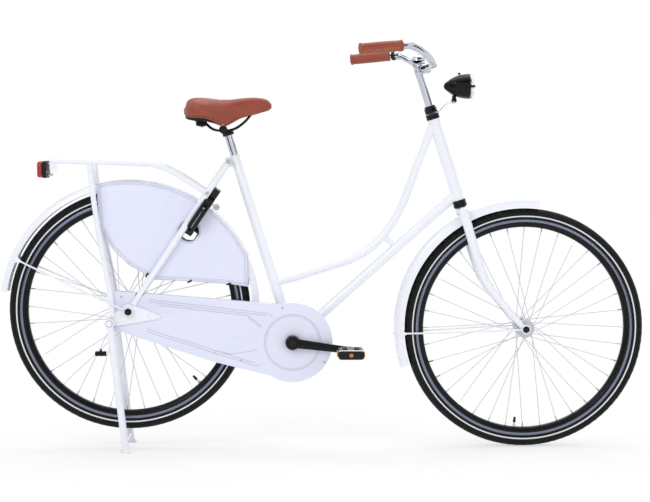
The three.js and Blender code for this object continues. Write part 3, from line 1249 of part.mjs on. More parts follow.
// Outline of a rounded box across the bicycle, from its bottom up
const backOutline = (halfWidth, bottom, height) => rounded(
  [[-1, 0], [1, 0], [1, 1], [-1, 1]].map(([side, up]) => (
    new THREE.Vector2(side * halfWidth, bottom + up * height)
  )), TAIL_LAMP_CORNER, CORNER_STEPS,
);
const backPrism = (outline, x, depth) => prism(outline, Y_AXIS, Z_AXIS, at(x, 0, 0), depth);

function addRack() {
  const railTop = rearAxle.z + RACK_HEIGHT + RACK_TUBE_RADIUS;
  for (const [name, side] of [['right', -1], ['left', 1]]) {
    const rackSide = cut(join(rackRail(side), rackLeg(side)), seatStay(side, GAP));
    addPiece(bicycle, `rack_side_${name}`, rackSide, FINISHES.paint);
  }
  const barHalf = RACK_HALF_WIDTH - RACK_TUBE_RADIUS - GAP;
  const onSpine = (run) => onRack(run, railHeight(run), 0);
  const bars = RACK_BAR_SHARES.map((run) => crossBar(onSpine(run), barHalf, RACK_BAR_RADIUS, NUT_SIDES));
  const plateFront = -RACK_RAIL_SHARES.at(-1)[0] * RACK_LENGTH - GAP;
  const spine = bar(
    onSpine(RACK_BAR_SHARES[0]),
    at(plateFront - HALF * RACK_PLATE_THICKNESS, 0, railTop - RACK_TUBE_RADIUS),
    RACK_BAR_RADIUS, ROD_SIDES,
  );
  const plateBack = plateFront - RACK_PLATE_THICKNESS;
  const outline = backOutline(RACK_PLATE_HALF_WIDTH, railTop - RACK_PLATE_HEIGHT, RACK_PLATE_HEIGHT);
  const rearPlate = backPrism(outline, plateBack, RACK_PLATE_THICKNESS);
  addPiece(bicycle, 'rack_deck', join(...bars, spine, rearPlate), FINISHES.paint);

  // Tail lamp on two studs behind the rear plate
  const lampTop = railTop - RACK_TUBE_RADIUS - TAIL_LAMP_DROP;
  const lampFront = plateBack - TAIL_STANDOFF;
  const lampBack = lampFront - TAIL_LAMP_DEPTH;
  const lampOutline = (inset) => backOutline(
    TAIL_LAMP_HALF_WIDTH - inset, lampTop - TAIL_LAMP_HEIGHT + inset, TAIL_LAMP_HEIGHT - inset - inset,
  );
  const shell = backPrism(lampOutline(0), lampBack, TAIL_LAMP_DEPTH);
  const studs = TAIL_BOLT_SHARES.map((share) => {
    const level = lampTop - HALF * TAIL_LAMP_HEIGHT + share * TAIL_LAMP_HEIGHT;
    const studFoot = at(lampFront - OVERRUN, 0, level);
    return bar(studFoot, at(plateBack - GAP, 0, level), TAIL_BOLT_RADIUS, ROD_SIDES);
  });
  addPiece(bicycle, 'tail_lamp_housing', join(shell, ...studs), FINISHES.black);
  const lens = backPrism(lampOutline(TAIL_LENS_INSET), lampBack - GAP - TAIL_LENS_DEPTH, TAIL_LENS_DEPTH);
  addPiece(bicycle, 'tail_lamp_lens', lens, FINISHES.redLens);
}
addRack();

// Dress guards: a thin panel on each side that flares out towards the hub
function dressGuard(side) {
  const onPanel = (radius, angle) => new THREE.Vector2(radius * Math.cos(angle), radius * Math.sin(angle));
  const arc = Array.from({ length: GUARD_PANEL_ARC_STEPS + 1 }, (_, i) => {
    const share = i / GUARD_PANEL_ARC_STEPS;
    const angle = THREE.MathUtils.lerp(GUARD_PANEL_FROM_ANGLE, GUARD_PANEL_TO_ANGLE, share);
    return onPanel(GUARD_PANEL_RADIUS, rad(angle));
  });
  const rest = GUARD_PANEL_SHARES.map(([x, z]) => (
    new THREE.Vector2(x, z).multiplyScalar(GUARD_PANEL_RADIUS)
  ));
  const bitePlace = lockSlope.place(LOCK_PLACE - GUARD_BITE_DROP, LOCK_OFFSET).sub(rearAxle);
  const bite = circlePoints(GUARD_BITE_RADIUS, GUARD_BITE_SIDES).map((point) => point.add(flat(bitePlace)));
  const shape = new THREE.Shape([...arc, ...rest]);
  shape.holes = [new THREE.Path(bite)];
  const geometry = new THREE.ExtrudeGeometry(shape, { depth: GUARD_PANEL_WALL, bevelEnabled: false });
  const corners = geometry.attributes.position;
  for (let i = 0; i < corners.count; i += 1) {
    const radius = Math.hypot(corners.getX(i), corners.getY(i));
    const flare = GUARD_PANEL_FLARE_SHARE * (GUARD_PANEL_RADIUS - radius);
    const out = GUARD_PANEL_EDGE_PLACE + flare + corners.getZ(i);
    corners.setXYZ(i, corners.getX(i), side * out, rearAxle.z + corners.getY(i));
  }
  return solidFrom(geometry);
}
addPiece(bicycle, 'dress_guard_right', dressGuard(-1), FINISHES.panel);
addPiece(bicycle, 'dress_guard_left', dressGuard(1), FINISHES.panel);

// Chaincase: a tray on the outside, closed by a flat wall on the inside
function caseOutline(inset) {
  const rear = inset - CASE_REAR;
  const top = rearAxle.z + CASE_REAR_TOP - inset;
  const bottom = rearAxle.z - CASE_REAR_BOTTOM + inset;
  const radius = CASE_FRONT_RADIUS - inset;
  const fromAngle = rad(CASE_BOTTOM_ANGLE) - FULL_TURN;
  const frontFoot = around(bracket, radius, fromAngle);
  const [sagRun, sagFall] = CASE_SAG_SHARE;
  const sag = new THREE.Vector2(
    THREE.MathUtils.lerp(rear, frontFoot.x, sagRun), THREE.MathUtils.lerp(bottom, frontFoot.z, sagFall),
  );
  const arc = Array.from({ length: CASE_ARC_STEPS + 1 }, (_, i) => (
    flat(around(bracket, radius, THREE.MathUtils.lerp(fromAngle, rad(CASE_TOP_ANGLE), i / CASE_ARC_STEPS)))
  ));
  const rearCorner = (level, sign) => new THREE.QuadraticBezierCurve(
    new THREE.Vector2(rear + CASE_CORNER, level), new THREE.Vector2(rear, level),
    new THREE.Vector2(rear, level + sign * CASE_CORNER),
  ).getPoints(CASE_CORNER_STEPS);
  return [...rearCorner(bottom, 1).reverse(), sag, ...arc, ...rearCorner(top, -1)];
}

function addChaincase() {
  const innerWallEnd = CASE_INNER_FACE + CASE_WALL;
  const tray = cut(
    plate(caseOutline(0), -CASE_OUTER_FACE, -innerWallEnd - GAP),
    plate(caseOutline(CASE_WALL), CASE_WALL - CASE_OUTER_FACE, OVERRUN - innerWallEnd),
  );
  const crankHole = crossBar(bracket, CASE_OUTER_FACE + OVERRUN, CASE_HUB_HOLE, HUB_SIDES);
  const stayClearance = join(chainStay(-1, CASE_CLEARANCE), dropout(-1, CASE_CLEARANCE));
  const outer = cut(tray, crankHole, stayClearance, seatStay(-1, CASE_CLEARANCE));
  addPiece(bicycle, 'chaincase_outer', outer, FINISHES.panel);
  const wall = plate(caseOutline(0), -innerWallEnd, -CASE_INNER_FACE);
  const cupHole = crossBar(bracket, CASE_OUTER_FACE, boreRadius(BRACKET_CUP_RADIUS, TUBE_SIDES));
  const hubHole = crossBar(rearAxle, CASE_OUTER_FACE, CASE_HUB_HOLE, HUB_SIDES);
  addPiece(bicycle, 'chaincase_inner', cut(wall, cupHole, hubHole, chainStay(-1, GAP)), FINISHES.panel);
}
addChaincase();

// Ring lock: a horseshoe round the tyre with a channel that its shackle turns in
const lockCentre = lockSlope.place(LOCK_PLACE, LOCK_OFFSET);
function onLock(radius, angle, ahead = 0) {
  const point = lockCentre.clone().addScaledVector(lockSlope.up, -radius * Math.cos(rad(angle)));
  return point.addScaledVector(lockSlope.forward, ahead).setY(-radius * Math.sin(rad(angle)));
}

// Profile of [outwards from the shackle circle, forward of the lock's middle] pairs swept round the lock
function lockSweep(profile, fromAngle, toAngle, steps) {
  const rings = Array.from({ length: steps + 1 }, (_, i) => {
    const angle = THREE.MathUtils.lerp(fromAngle, toAngle, i / steps);
    return profile.map(([out, ahead]) => onLock(SHACKLE_CIRCLE + out, angle, ahead));
  });
  return loft(rings, profile.map(([out, ahead]) => new THREE.Vector2(out, ahead)));
}
const squareSection = (half, tall = half) => [[-half, -tall], [half, -tall], [half, tall], [-half, tall]];

function addLock() {
  const halfThickness = HALF * LOCK_THICKNESS;
  const innerOut = LOCK_INNER_RADIUS - SHACKLE_CIRCLE;
  const outerOut = LOCK_OUTER_RADIUS - SHACKLE_CIRCLE;
  const ringSection = [
    [innerOut, -halfThickness], [outerOut, -halfThickness],
    [outerOut, halfThickness], [innerOut, halfThickness],
  ];
  const farEnd = HALF_TURN_DEGREES + HALF_TURN_DEGREES - LOCK_END_ANGLE;
  const horseshoe = lockSweep(ringSection, LOCK_END_ANGLE, farEnd, LOCK_STEPS);
  const headFoot = HALF * (LOCK_INNER_RADIUS + LOCK_OUTER_RADIUS);
  const headOutline = rounded([
    [-1, headFoot], [1, headFoot], [1, LOCK_HEAD_REACH], [-1, LOCK_HEAD_REACH],
  ].map(([side, up]) => new THREE.Vector2(side * LOCK_HEAD_HALF_WIDTH, up)), halfThickness, CORNER_STEPS);
  const headOrigin = lockCentre.clone().addScaledVector(lockSlope.forward, -halfThickness);
  const head = prism(headOutline, Y_AXIS, lockSlope.up, headOrigin, LOCK_THICKNESS);

  const channelHalf = SHACKLE_RADIUS + SHACKLE_CLEARANCE;
  const channelEnd = SHACKLE_TO_ANGLE + LEVER_SPAN_ANGLE;
  const channel = lockSweep(
    squareSection(channelHalf), LOCK_END_ANGLE - OVERRUN, channelEnd, SHACKLE_STEPS,
  );
  const farChannel = lockSweep(
    squareSection(channelHalf),
    SHACKLE_FROM_ANGLE - SHACKLE_TRAVEL_ANGLE - OVERRUN, OVERRUN - LOCK_END_ANGLE,
    CORNER_STEPS,
  );
  const leverAngle = SHACKLE_TO_ANGLE - HALF * LEVER_SPAN_ANGLE;
  const wallMiddle = HALF * LOCK_OUTER_RADIUS - HALF * SHACKLE_CIRCLE;
  const slotSection = squareSection(wallMiddle + OVERRUN, LEVER_HALF_WIDTH + SHACKLE_CLEARANCE).map(
    ([out, ahead]) => [out + wallMiddle + OVERRUN, ahead],
  );
  const slot = lockSweep(
    slotSection, leverAngle - SHACKLE_TRAVEL_ANGLE - HALF * LEVER_SPAN_ANGLE, channelEnd, SHACKLE_STEPS,
  );
  const onKey = (ahead) => onLock(headFoot, KEY_ANGLE, ahead);
  const keyHole = bar(
    onKey(halfThickness - KEY_DEPTH), onKey(halfThickness + OVERRUN),
    boreRadius(KEY_SHAFT_RADIUS, ROD_SIDES), ROD_SIDES,
  );
  const housing = cut(
    join(horseshoe, head), channel, farChannel, slot, keyHole,
    seatStay(-1, GAP), seatStay(1, GAP), stayBridge(GAP),
  );
  addPiece(bicycle, 'lock_housing', housing, FINISHES.black);

  const rod = lockSweep(
    circlePoints(SHACKLE_RADIUS, ROD_SIDES).map(({ x, y }) => [x, y]),
    SHACKLE_FROM_ANGLE, SHACKLE_TO_ANGLE, SHACKLE_STEPS,
  );
  const lever = bar(
    onLock(SHACKLE_CIRCLE, leverAngle), onLock(SHACKLE_CIRCLE + LEVER_REACH, leverAngle),
    LEVER_HALF_WIDTH, NUT_SIDES,
  );
  addPiece(bicycle, 'lock_shackle', join(rod, lever), FINISHES.steel);

  const keyFace = halfThickness + KEY_STANDOFF;
  const shaft = bar(
    onKey(halfThickness - KEY_DEPTH + GAP), onKey(keyFace + OVERRUN), KEY_SHAFT_RADIUS, ROD_SIDES,
  );
  const bow = crossBar(
    onKey(keyFace + KEY_BOW_RADIUS), HALF * KEY_BOW_THICKNESS, KEY_BOW_RADIUS, CRANK_SIDES,
  );
  addPiece(bicycle, 'lock_key', join(shaft, bow), FINISHES.steel);
}
addLock();

// Two-legged stand: an eye, a leg and a foot on each side, joined by a bar below the tyre
function addStand() {
  const footX = -STAND_FOOT_BACK;
  const legAt = (height) => THREE.MathUtils.mapLinear(height, standPivot.z, 0, standPivot.x, footX);
  const sides = [-1, 1].map((side) => {
    const inner = STAND_LEG_PLACE - STAND_LEG_RADIUS;
    const outer = STAND_LEG_PLACE + STAND_LEG_RADIUS;
    const onPivot = (place) => standPivot.clone().setY(side * place);
    const eye = bar(onPivot(inner), onPivot(outer), STAND_EYE_RADIUS, CRANK_SIDES);
    const legEnd = at(legAt(HALF * STAND_FOOT_HEIGHT), side * STAND_LEG_PLACE, HALF * STAND_FOOT_HEIGHT);
    const leg = bar(onPivot(STAND_LEG_PLACE), legEnd, STAND_LEG_RADIUS, CRANK_SIDES);
    const ground = plate(
      [[-1, -1], [1, -1], [1, 0], [-1, 0]].map(([x, z]) => (
        new THREE.Vector2(
          footX + x * (STAND_FOOT_HALF_WIDTH + STAND_LEG_RADIUS), z * STAND_FOOT_HALF_WIDTH,
        )
      )),
      side * (inner - OVERRUN), side * (outer + OVERRUN),
    );
    const foot = plate(rounded([[-1, 0], [1, 0], [1, 1], [-1, 1]].map(([x, z]) => (
      new THREE.Vector2(footX + x * STAND_FOOT_HALF_WIDTH, z * STAND_FOOT_HEIGHT)
    )), OVERRUN, 1), side * inner, side * outer);
    const bore = bar(
      onPivot(inner - OVERRUN), onPivot(outer + OVERRUN),
      boreRadius(STAND_PIN_RADIUS, CRANK_SIDES), CRANK_SIDES,
    );
    return cut(join(eye, cut(leg, ground), foot), bore);
  });
  const barPlace = at(legAt(STAND_BAR_HEIGHT), 0, STAND_BAR_HEIGHT);
  const foot = crossBar(barPlace, STAND_LEG_PLACE, STAND_BAR_RADIUS, ROD_SIDES);
  const pegFrom = at(legAt(PEG_HEIGHT), -STAND_LEG_PLACE, PEG_HEIGHT);
  const peg = bar(
    pegFrom, pegFrom.clone().setX(pegFrom.x - STAND_LEG_RADIUS - PEG_REACH), PEG_RADIUS, ROD_SIDES,
  );
  addPiece(bicycle, 'kickstand', join(...sides, foot, peg), FINISHES.paint);
}
addStand();

// Fork: steerer with its locknut, crown, curved tapering blades and dropouts
const bladeTopSpread = MUDGUARD_HALF_WIDTH + BLADE_GUARD_CLEARANCE + BLADE_HALF_WIDTH;
function forkBlade(side) {
  const endSpread = FRONT_DROPOUT_INNER + HALF * FRONT_DROPOUT_THICKNESS;
  const route = BLADE_SHARES.map(([drop, rake], i) => {
    const spread = THREE.MathUtils.mapLinear(i, 0, BLADE_SHARES.length - 1, bladeTopSpread, endSpread);
    return steering.place(CROWN_PLACE * (1 - drop), FORK_RAKE * rake, side * spread);
  });
  const sizes = BLADE_SHARES.map(([, , across, deep]) => (
    [across * BLADE_HALF_WIDTH, deep * BLADE_HALF_DEPTH]
  ));
  return ovalTube(route, sizes, ROD_SIDES, BLADE_STEPS);
}
const locknutStart = UPPER_CUP_END + GAP + BRACKET_THICKNESS + GAP;

function addFork() {
  const crown = plate(
    rounded(
      slopeBox(
        steering, CROWN_PLACE - CROWN_HALF_HEIGHT, CROWN_PLACE + CROWN_HALF_HEIGHT,
        -CROWN_HALF_DEPTH, CROWN_HALF_DEPTH,
      ), CROWN_HALF_HEIGHT, CORNER_STEPS,
    ),
    -bladeTopSpread - CROWN_HALF_HEIGHT, bladeTopSpread + CROWN_HALF_HEIGHT,
  );
  const steerer = bar(steering.place(CROWN_PLACE), steering.place(STEERER_END), STEERER_RADIUS);
  const race = bar(steering.place(CROWN_PLACE), steering.place(LOWER_CUP_START - GAP), HEAD_TUBE_RADIUS);
  const locknut = bar(
    steering.place(locknutStart), steering.place(LOCKNUT_END), BRACKET_RING_RADIUS, ROD_SIDES,
  );
  const quillBore = bar(
    steering.place(LOCKNUT_END - QUILL_DEPTH - STEERER_SOLID), steering.place(STEERER_END + OVERRUN),
    boreRadius(QUILL_RADIUS, TUBE_SIDES),
  );
  const dropoutEnd = FRONT_DROPOUT_INNER + FRONT_DROPOUT_THICKNESS;
  const ends = [-1, 1].map((side) => bar(
    frontAxle.clone().setY(side * FRONT_DROPOUT_INNER), frontAxle.clone().setY(side * dropoutEnd),
    FRONT_DROPOUT_RADIUS, CRANK_SIDES,
  ));
  const bore = crossBar(frontAxle, dropoutEnd + OVERRUN, boreRadius(AXLE_RADIUS, ROD_SIDES), ROD_SIDES);
  const fork = join(crown, steerer, race, locknut, forkBlade(-1), forkBlade(1), ...ends);
  addPiece(bicycle, 'fork', cut(fork, quillBore, bore), FINISHES.paint);
  addPiece(bicycle, 'front_axle', steppedAxle(frontAxle, frontStack.steps, frontStack.tip), FINISHES.black);
}
addFork();

// Stem, handlebar, grips and bell
const stemTop = LOCKNUT_END + STEM_RISE;
const barClamp = steering.place(stemTop, STEM_FORWARD);
const onBar = ([out, back, up], side) => (
  at(barClamp.x - back * BAR_SWEEP, side * out * BAR_HALF_WIDTH, barClamp.z + up * BAR_RISE)
);
const barRoute = [
  ...[...BAR_SHARES].reverse().map((share) => onBar(share, -1)),
  ...BAR_SHARES.map((share) => onBar(share, 1)),
];
const handlebar = (grow = 0) => tubeAlong(barRoute, BAR_RADIUS + grow, BAR_SIDES, BAR_STEPS);

function addHandlebar() {
  const barClearance = handlebar(GAP);
  addPiece(bicycle, 'handlebar', handlebar(), FINISHES.chrome);
  const clamp = crossBar(barClamp, CLAMP_HALF_WIDTH, CLAMP_RADIUS);
  const quill = bar(steering.place(LOCKNUT_END - QUILL_DEPTH), steering.place(stemTop), QUILL_RADIUS);
  addPiece(bicycle, 'stem', cut(join(quill, clamp), barClearance), FINISHES.chrome);
  for (const [name, side] of [['right', -1], ['left', 1]]) {
    const end = onBar(BAR_SHARES.at(-1), side);
    const inward = onBar(BAR_SHARES.at(-2), side).sub(end).normalize();
    const cap = end.clone().addScaledVector(inward, -GRIP_CAP);
    const mouth = end.clone().addScaledVector(inward, GRIP_LENGTH);
    const endClearance = bar(
      end.clone().addScaledVector(inward, -GAP), end.clone().addScaledVector(inward, OVERRUN),
      boreRadius(BAR_RADIUS, CRANK_SIDES), CRANK_SIDES,
    );
    const grip = cut(bar(cap, mouth, GRIP_RADIUS, CRANK_SIDES), barClearance, endClearance);
    addPiece(bicycle, `grip_${name}`, grip, FINISHES.leather);
  }
  const bellPlace = onBar(BELL_SHARE, 1);
  const dome = turned([
    [0, BAR_RADIUS + BELL_STANDOFF - OVERRUN], [BELL_RADIUS, BAR_RADIUS + BELL_STANDOFF - OVERRUN],
    [BELL_RADIUS * Math.SQRT1_2, BAR_RADIUS + BELL_STANDOFF + BELL_HEIGHT * Math.SQRT1_2],
    [0, BAR_RADIUS + BELL_STANDOFF + BELL_HEIGHT],
  ], bellPlace, Z_AXIS, CRANK_SIDES);
  const band = crossBar(bellPlace, BELL_STANDOFF, BAR_RADIUS + BELL_STANDOFF, CRANK_SIDES);
  addPiece(bicycle, 'bell', cut(join(dome, band), barClearance), FINISHES.chrome);
}
addHandlebar();

// Headlamp on a strap that is held under the headset's locknut
function addHeadlamp() {
  const strapRoute = STRAP_SHARES.map(([rise, ahead]) => (
    steering.place(UPPER_CUP_END + GAP + HALF * BRACKET_THICKNESS + rise * STRAP_RISE, ahead * STRAP_REACH)
  ));
  const eyeCentre = strapRoute.at(-1);
  const strap = ovalTube(
    strapRoute, strapRoute.map(() => [BRACKET_HALF_WIDTH, HALF * BRACKET_THICKNESS]),
    ROD_SIDES, STRAP_STEPS,
  );
  const collar = bar(
    steering.place(UPPER_CUP_END + GAP), steering.place(UPPER_CUP_END + GAP + BRACKET_THICKNESS),
    BRACKET_RING_RADIUS,
  );
  const eyeHalf = HALF * BRACKET_THICKNESS;
  const eye = bar(
    eyeCentre.clone().setZ(eyeCentre.z - eyeHalf), eyeCentre.clone().setZ(eyeCentre.z + eyeHalf),
    BRACKET_HALF_WIDTH, CRANK_SIDES,
  );
  const steererClearance = bar(
    steering.place(CROWN_PLACE), steering.place(STEERER_END), STEERER_RADIUS + GAP,
  );
  const locknutClearance = bar(
    steering.place(locknutStart - GAP), steering.place(STEERER_END), BRACKET_RING_RADIUS + GAP, ROD_SIDES,
  );
  const lampBracket = cut(join(strap, collar, eye), steererClearance, locknutClearance);
  addPiece(bicycle, 'headlamp_bracket', lampBracket, FINISHES.black);

  const rearTip = eyeCentre.clone().add(at(-LAMP_OVERHANG, 0, LAMP_RISE));
  const bullet = LAMP_BULLET_SHARES.map(([out, along]) => [out * LAMP_RADIUS, along * LAMP_LENGTH]);
  const hollow = LAMP_BULLET_SHARES.map(([out, along]) => (
    [out * (LAMP_RADIUS - LAMP_WALL), LAMP_WALL + along * (LAMP_LENGTH - LAMP_WALL)]
  ));
  const skin = turned([...bullet, [LAMP_RADIUS, LAMP_LENGTH], [0, LAMP_LENGTH]], rearTip, X_AXIS, LAMP_SIDES);
  const inside = turned([
    ...hollow, [LAMP_RADIUS - LAMP_WALL, LAMP_LENGTH + OVERRUN], [0, LAMP_LENGTH + OVERRUN],
  ], rearTip, X_AXIS, LAMP_SIDES);
  const foot = bar(
    eyeCentre.clone().setZ(eyeCentre.z + eyeHalf + GAP),
    eyeCentre.clone().setZ(rearTip.z - HALF * LAMP_RADIUS),
    LAMP_FOOT_HALF, CRANK_SIDES,
  );
  addPiece(bicycle, 'headlamp_shell', cut(join(skin, foot), inside), FINISHES.black);
  const lensEdge = LAMP_RADIUS - LAMP_WALL - GAP;
  const lens = turned([
    [0, LAMP_LENGTH - LENS_SINK], [lensEdge, LAMP_LENGTH - LENS_SINK], [lensEdge, LAMP_LENGTH + GAP],
    [LAMP_RADIUS, LAMP_LENGTH + GAP], [LAMP_RADIUS, LAMP_LENGTH + LENS_EDGE],
    [HALF * LAMP_RADIUS, LAMP_LENGTH + LENS_DEPTH - LENS_SINK], [0, LAMP_LENGTH + LENS_DEPTH],
  ], rearTip, X_AXIS, LAMP_SIDES);
  addPiece(bicycle, 'headlamp_lens', lens, FINISHES.lens);
}
addHeadlamp();

// Saddle: crowned cover with a channel, base shell with rubber bumpers, rails, clamp and post
const saddleRear = postTop.x - SADDLE_SET_BACK;
const railLevel = postTop.z + RAIL_RISE;
const saddleX = (share) => saddleRear + share * SADDLE_LENGTH;
const saddleZ = (share) => postTop.z + SADDLE_RISE + share * SADDLE_HEIGHT;

function saddleRing(share, wide, top, skirt, recess) {
  const x = saddleX(share);
  const half = wide * SADDLE_HALF_WIDTH;
  const [crown, hem, hollow] = [top, skirt, recess].map(saddleZ);
  const channel = SADDLE_CHANNEL_DEPTH * Math.sin(Math.PI * THREE.MathUtils.clamp(share, 0, 1));
  // From the hem over the crown: drawn in at the skirt, fullest below the shoulder
  const over = Array.from({ length: SADDLE_SECTION_STEPS + 1 }, (_, i) => {
    const turn = Math.PI * i / SADDLE_SECTION_STEPS;
    const out = Math.sign(Math.cos(turn)) * Math.abs(Math.cos(turn)) ** SADDLE_CROWN_POWER;
    const rise = Math.sin(turn) ** SADDLE_CROWN_POWER;
    const dip = channel * Math.exp(-((out / SADDLE_CHANNEL_SHARE) ** 2));
    const drawn = THREE.MathUtils.lerp(SADDLE_SKIRT_WIDTH_SHARE, 1, Math.min(1, rise / SADDLE_SKIRT_SHARE));
    return at(x, out * half * drawn, THREE.MathUtils.lerp(hem, crown, rise) - dip);
  });
  const inner = half * SADDLE_RECESS_WIDTH_SHARE;
  return [...over, at(x, -inner, hem), at(x, -inner, hollow), at(x, inner, hollow), at(x, inner, hem)];
}

function addSaddle() {
  const rings = SADDLE_SHARES.map((shares) => saddleRing(...shares));
  const cover = loft(rings, rings[0].map((point) => new THREE.Vector2(point.y, point.z)));
  addPiece(bicycle, 'saddle_cover', cover, FINISHES.leather);

  const baseStations = SADDLE_SHARES.slice(SADDLE_BASE_FIRST_INDEX, SADDLE_BASE_LAST_INDEX + 1);
  const baseRings = baseStations.map(([share, wide, , , recess]) => {
    const half = wide * SADDLE_HALF_WIDTH * SADDLE_BASE_WIDTH_SHARE;
    const top = saddleZ(recess) - GAP;
    const bottom = top - SADDLE_BASE_THICKNESS;
    return [[-half, top], [-half, bottom], [half, bottom], [half, top]].map(([side, level]) => (
      at(saddleX(share), side, level)
    ));
  });
  const base = loft(baseRings, baseRings[0].map((point) => new THREE.Vector2(point.y, point.z)));
  const [, , , , tailRecess] = SADDLE_SHARES[SADDLE_BASE_FIRST_INDEX];
  const baseLevel = saddleZ(tailRecess) - SADDLE_BASE_THICKNESS;
  const bumpers = [-1, 1].map((side) => {
    const top = at(saddleRear + SADDLE_BUMPER_FORWARD, side * SADDLE_BUMPER_SPREAD, baseLevel);
    return bar(top.clone().setZ(baseLevel - SADDLE_BUMPER_DROP), top, SADDLE_BUMPER_RADIUS, CRANK_SIDES);
  });

  const railPoint = ([run, drop, spread], side) => at(
    saddleX(run), side * spread * RAIL_SPREAD, THREE.MathUtils.lerp(baseLevel, railLevel, drop),
  );
  function rail(side, grow) {
    const route = RAIL_SHARES.map((shares) => railPoint(shares, side));
    const radius = RAIL_RADIUS + grow;
    const ends = grow > 0 ? [[route[0], route[1]], [route.at(-1), route.at(-2)]] : [];
    const plugs = ends.map(([end, next]) => {
      const inside = end.clone().lerp(next, RAIL_PLUG_SHARE);
      const outside = end.clone().lerp(next, -RAIL_PLUG_SHARE);
      return bar(inside, outside, radius, NUT_SIDES);
    });
    return join(tubeAlong(route, radius, NUT_SIDES, RAIL_STEPS), ...plugs);
  }
  const railTie = (grow) => (
    crossBar(railPoint(RAIL_SHARES[1], 0), RAIL_SPREAD, RAIL_RADIUS + grow, NUT_SIDES)
  );
  const railSet = (grow = 0) => join(rail(-1, grow), rail(1, grow), railTie(grow));
  addPiece(bicycle, 'saddle_rails', railSet(), FINISHES.steel);
  addPiece(bicycle, 'saddle_base', cut(join(base, ...bumpers), railSet(GAP)), FINISHES.black);

  const postFoot = seating.place(SEAT_TUBE_LENGTH - SEAT_POST_DEPTH);
  const alongPost = (beyond) => postTop.clone().addScaledVector(seating.up, beyond);
  addPiece(bicycle, 'seat_post', bar(postFoot, postTop, SEAT_POST_RADIUS), FINISHES.chrome);
  const collar = bar(alongPost(-CLAMP_COLLAR_HEIGHT), alongPost(OVERRUN), CLAMP_COLLAR_RADIUS);
  const bodyCentre = postTop.clone().addScaledVector(seating.forward, -CLAMP_BODY_RADIUS);
  bodyCentre.setZ(railLevel);
  const body = crossBar(bodyCentre, CLAMP_BODY_HALF_WIDTH, CLAMP_BODY_RADIUS);
  const postClearance = bar(postFoot, alongPost(GAP), SEAT_POST_RADIUS + GAP);
  addPiece(bicycle, 'saddle_clamp', cut(join(collar, body), postClearance, railSet(GAP)), FINISHES.black);
}
addSaddle();

// Origin at the bottom centre of the whole bicycle
const bounds = new THREE.Box3().setFromObject(bicycle);
const middle = bounds.getCenter(new THREE.Vector3());
bicycle.position.set(-middle.x, 0, 0);

export default bicycle;
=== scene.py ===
import math

import bmesh
import bpy
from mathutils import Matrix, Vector, geometry, noise


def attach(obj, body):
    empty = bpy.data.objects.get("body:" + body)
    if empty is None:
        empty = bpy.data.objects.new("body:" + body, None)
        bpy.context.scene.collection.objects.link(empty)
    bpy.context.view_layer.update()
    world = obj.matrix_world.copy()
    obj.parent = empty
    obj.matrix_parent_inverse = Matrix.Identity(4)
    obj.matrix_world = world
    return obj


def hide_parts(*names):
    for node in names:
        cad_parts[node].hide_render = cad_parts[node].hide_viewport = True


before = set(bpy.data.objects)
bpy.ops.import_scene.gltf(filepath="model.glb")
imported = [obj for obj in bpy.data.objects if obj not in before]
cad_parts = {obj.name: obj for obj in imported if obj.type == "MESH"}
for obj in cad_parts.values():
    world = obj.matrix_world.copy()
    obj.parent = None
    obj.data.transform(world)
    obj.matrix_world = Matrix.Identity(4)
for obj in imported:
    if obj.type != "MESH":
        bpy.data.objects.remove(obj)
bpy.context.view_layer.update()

# Lengths below are in millimetres in the bicycle's own frame: X forward from the rear axle, Y to the
# left, Z up from the floor. part_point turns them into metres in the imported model's frame.
MILLI = 0.001
REAR_AXLE_X = -574.8617
X, Y, Z = Vector((1, 0, 0)), Vector((0, 1, 0)), Vector((0, 0, 1))
REAR_AXLE = Vector((0, 0, 414))
FRONT_AXLE = Vector((1173, 0, 357))
BRACKET = Vector((481.727, 0, 321))
SIDES = {"right": -1, "left": 1}


def part_point(point):
    """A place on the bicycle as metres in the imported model's frame."""
    return Vector((point.x + REAR_AXLE_X, point.y, point.z)) * MILLI


def frame_on(base, degrees):
    """For a line that leans back: the place along it, ahead of it and to its side, and its two ways."""
    slope = math.radians(degrees)
    up = Vector((-math.cos(slope), 0, math.sin(slope)))
    ahead = Vector((math.sin(slope), 0, math.cos(slope)))
    return lambda along, front=0, side=0: base + up * along + ahead * front + Y * side, up, ahead


HEAD_ANGLE, SEAT_ANGLE, FORK_OFFSET = 72.4, 72.9, 72
turn = math.radians(HEAD_ANGLE)
STEER_FOOT = FRONT_AXLE + Vector((-FORK_OFFSET * math.sin(turn), 0, -FORK_OFFSET * math.cos(turn)))
on_steering, STEER_UP, _ = frame_on(STEER_FOOT, HEAD_ANGLE)
on_seat, SEAT_UP, SEAT_AHEAD = frame_on(BRACKET, SEAT_ANGLE)
SEAT_BOLT = on_seat(564.5, -23)
STAY_RUN = SEAT_BOLT - REAR_AXLE
STAY_LENGTH = STAY_RUN.length
STAY_ANGLE = 180 - math.degrees(math.atan2(STAY_RUN.z, STAY_RUN.x))
on_stay, STAY_UP, STAY_AHEAD = frame_on(REAR_AXLE, STAY_ANGLE)


def around(axle, radius, degrees, side=0.0):
    """The place at a radius from an axle, with degrees counted up from straight ahead."""
    turn = math.radians(degrees)
    return Vector((axle.x + radius * math.cos(turn), side, axle.z + radius * math.sin(turn)))


# Materials
def srgb(red, green, blue):
    """A colour written as it looks on a screen, 0 to 255, as linear light."""
    shares = [value / 255 for value in (red, green, blue)]
    return [s / 12.92 if s <= 0.04045 else ((s + 0.055) / 1.055) ** 2.4 for s in shares] + [1]


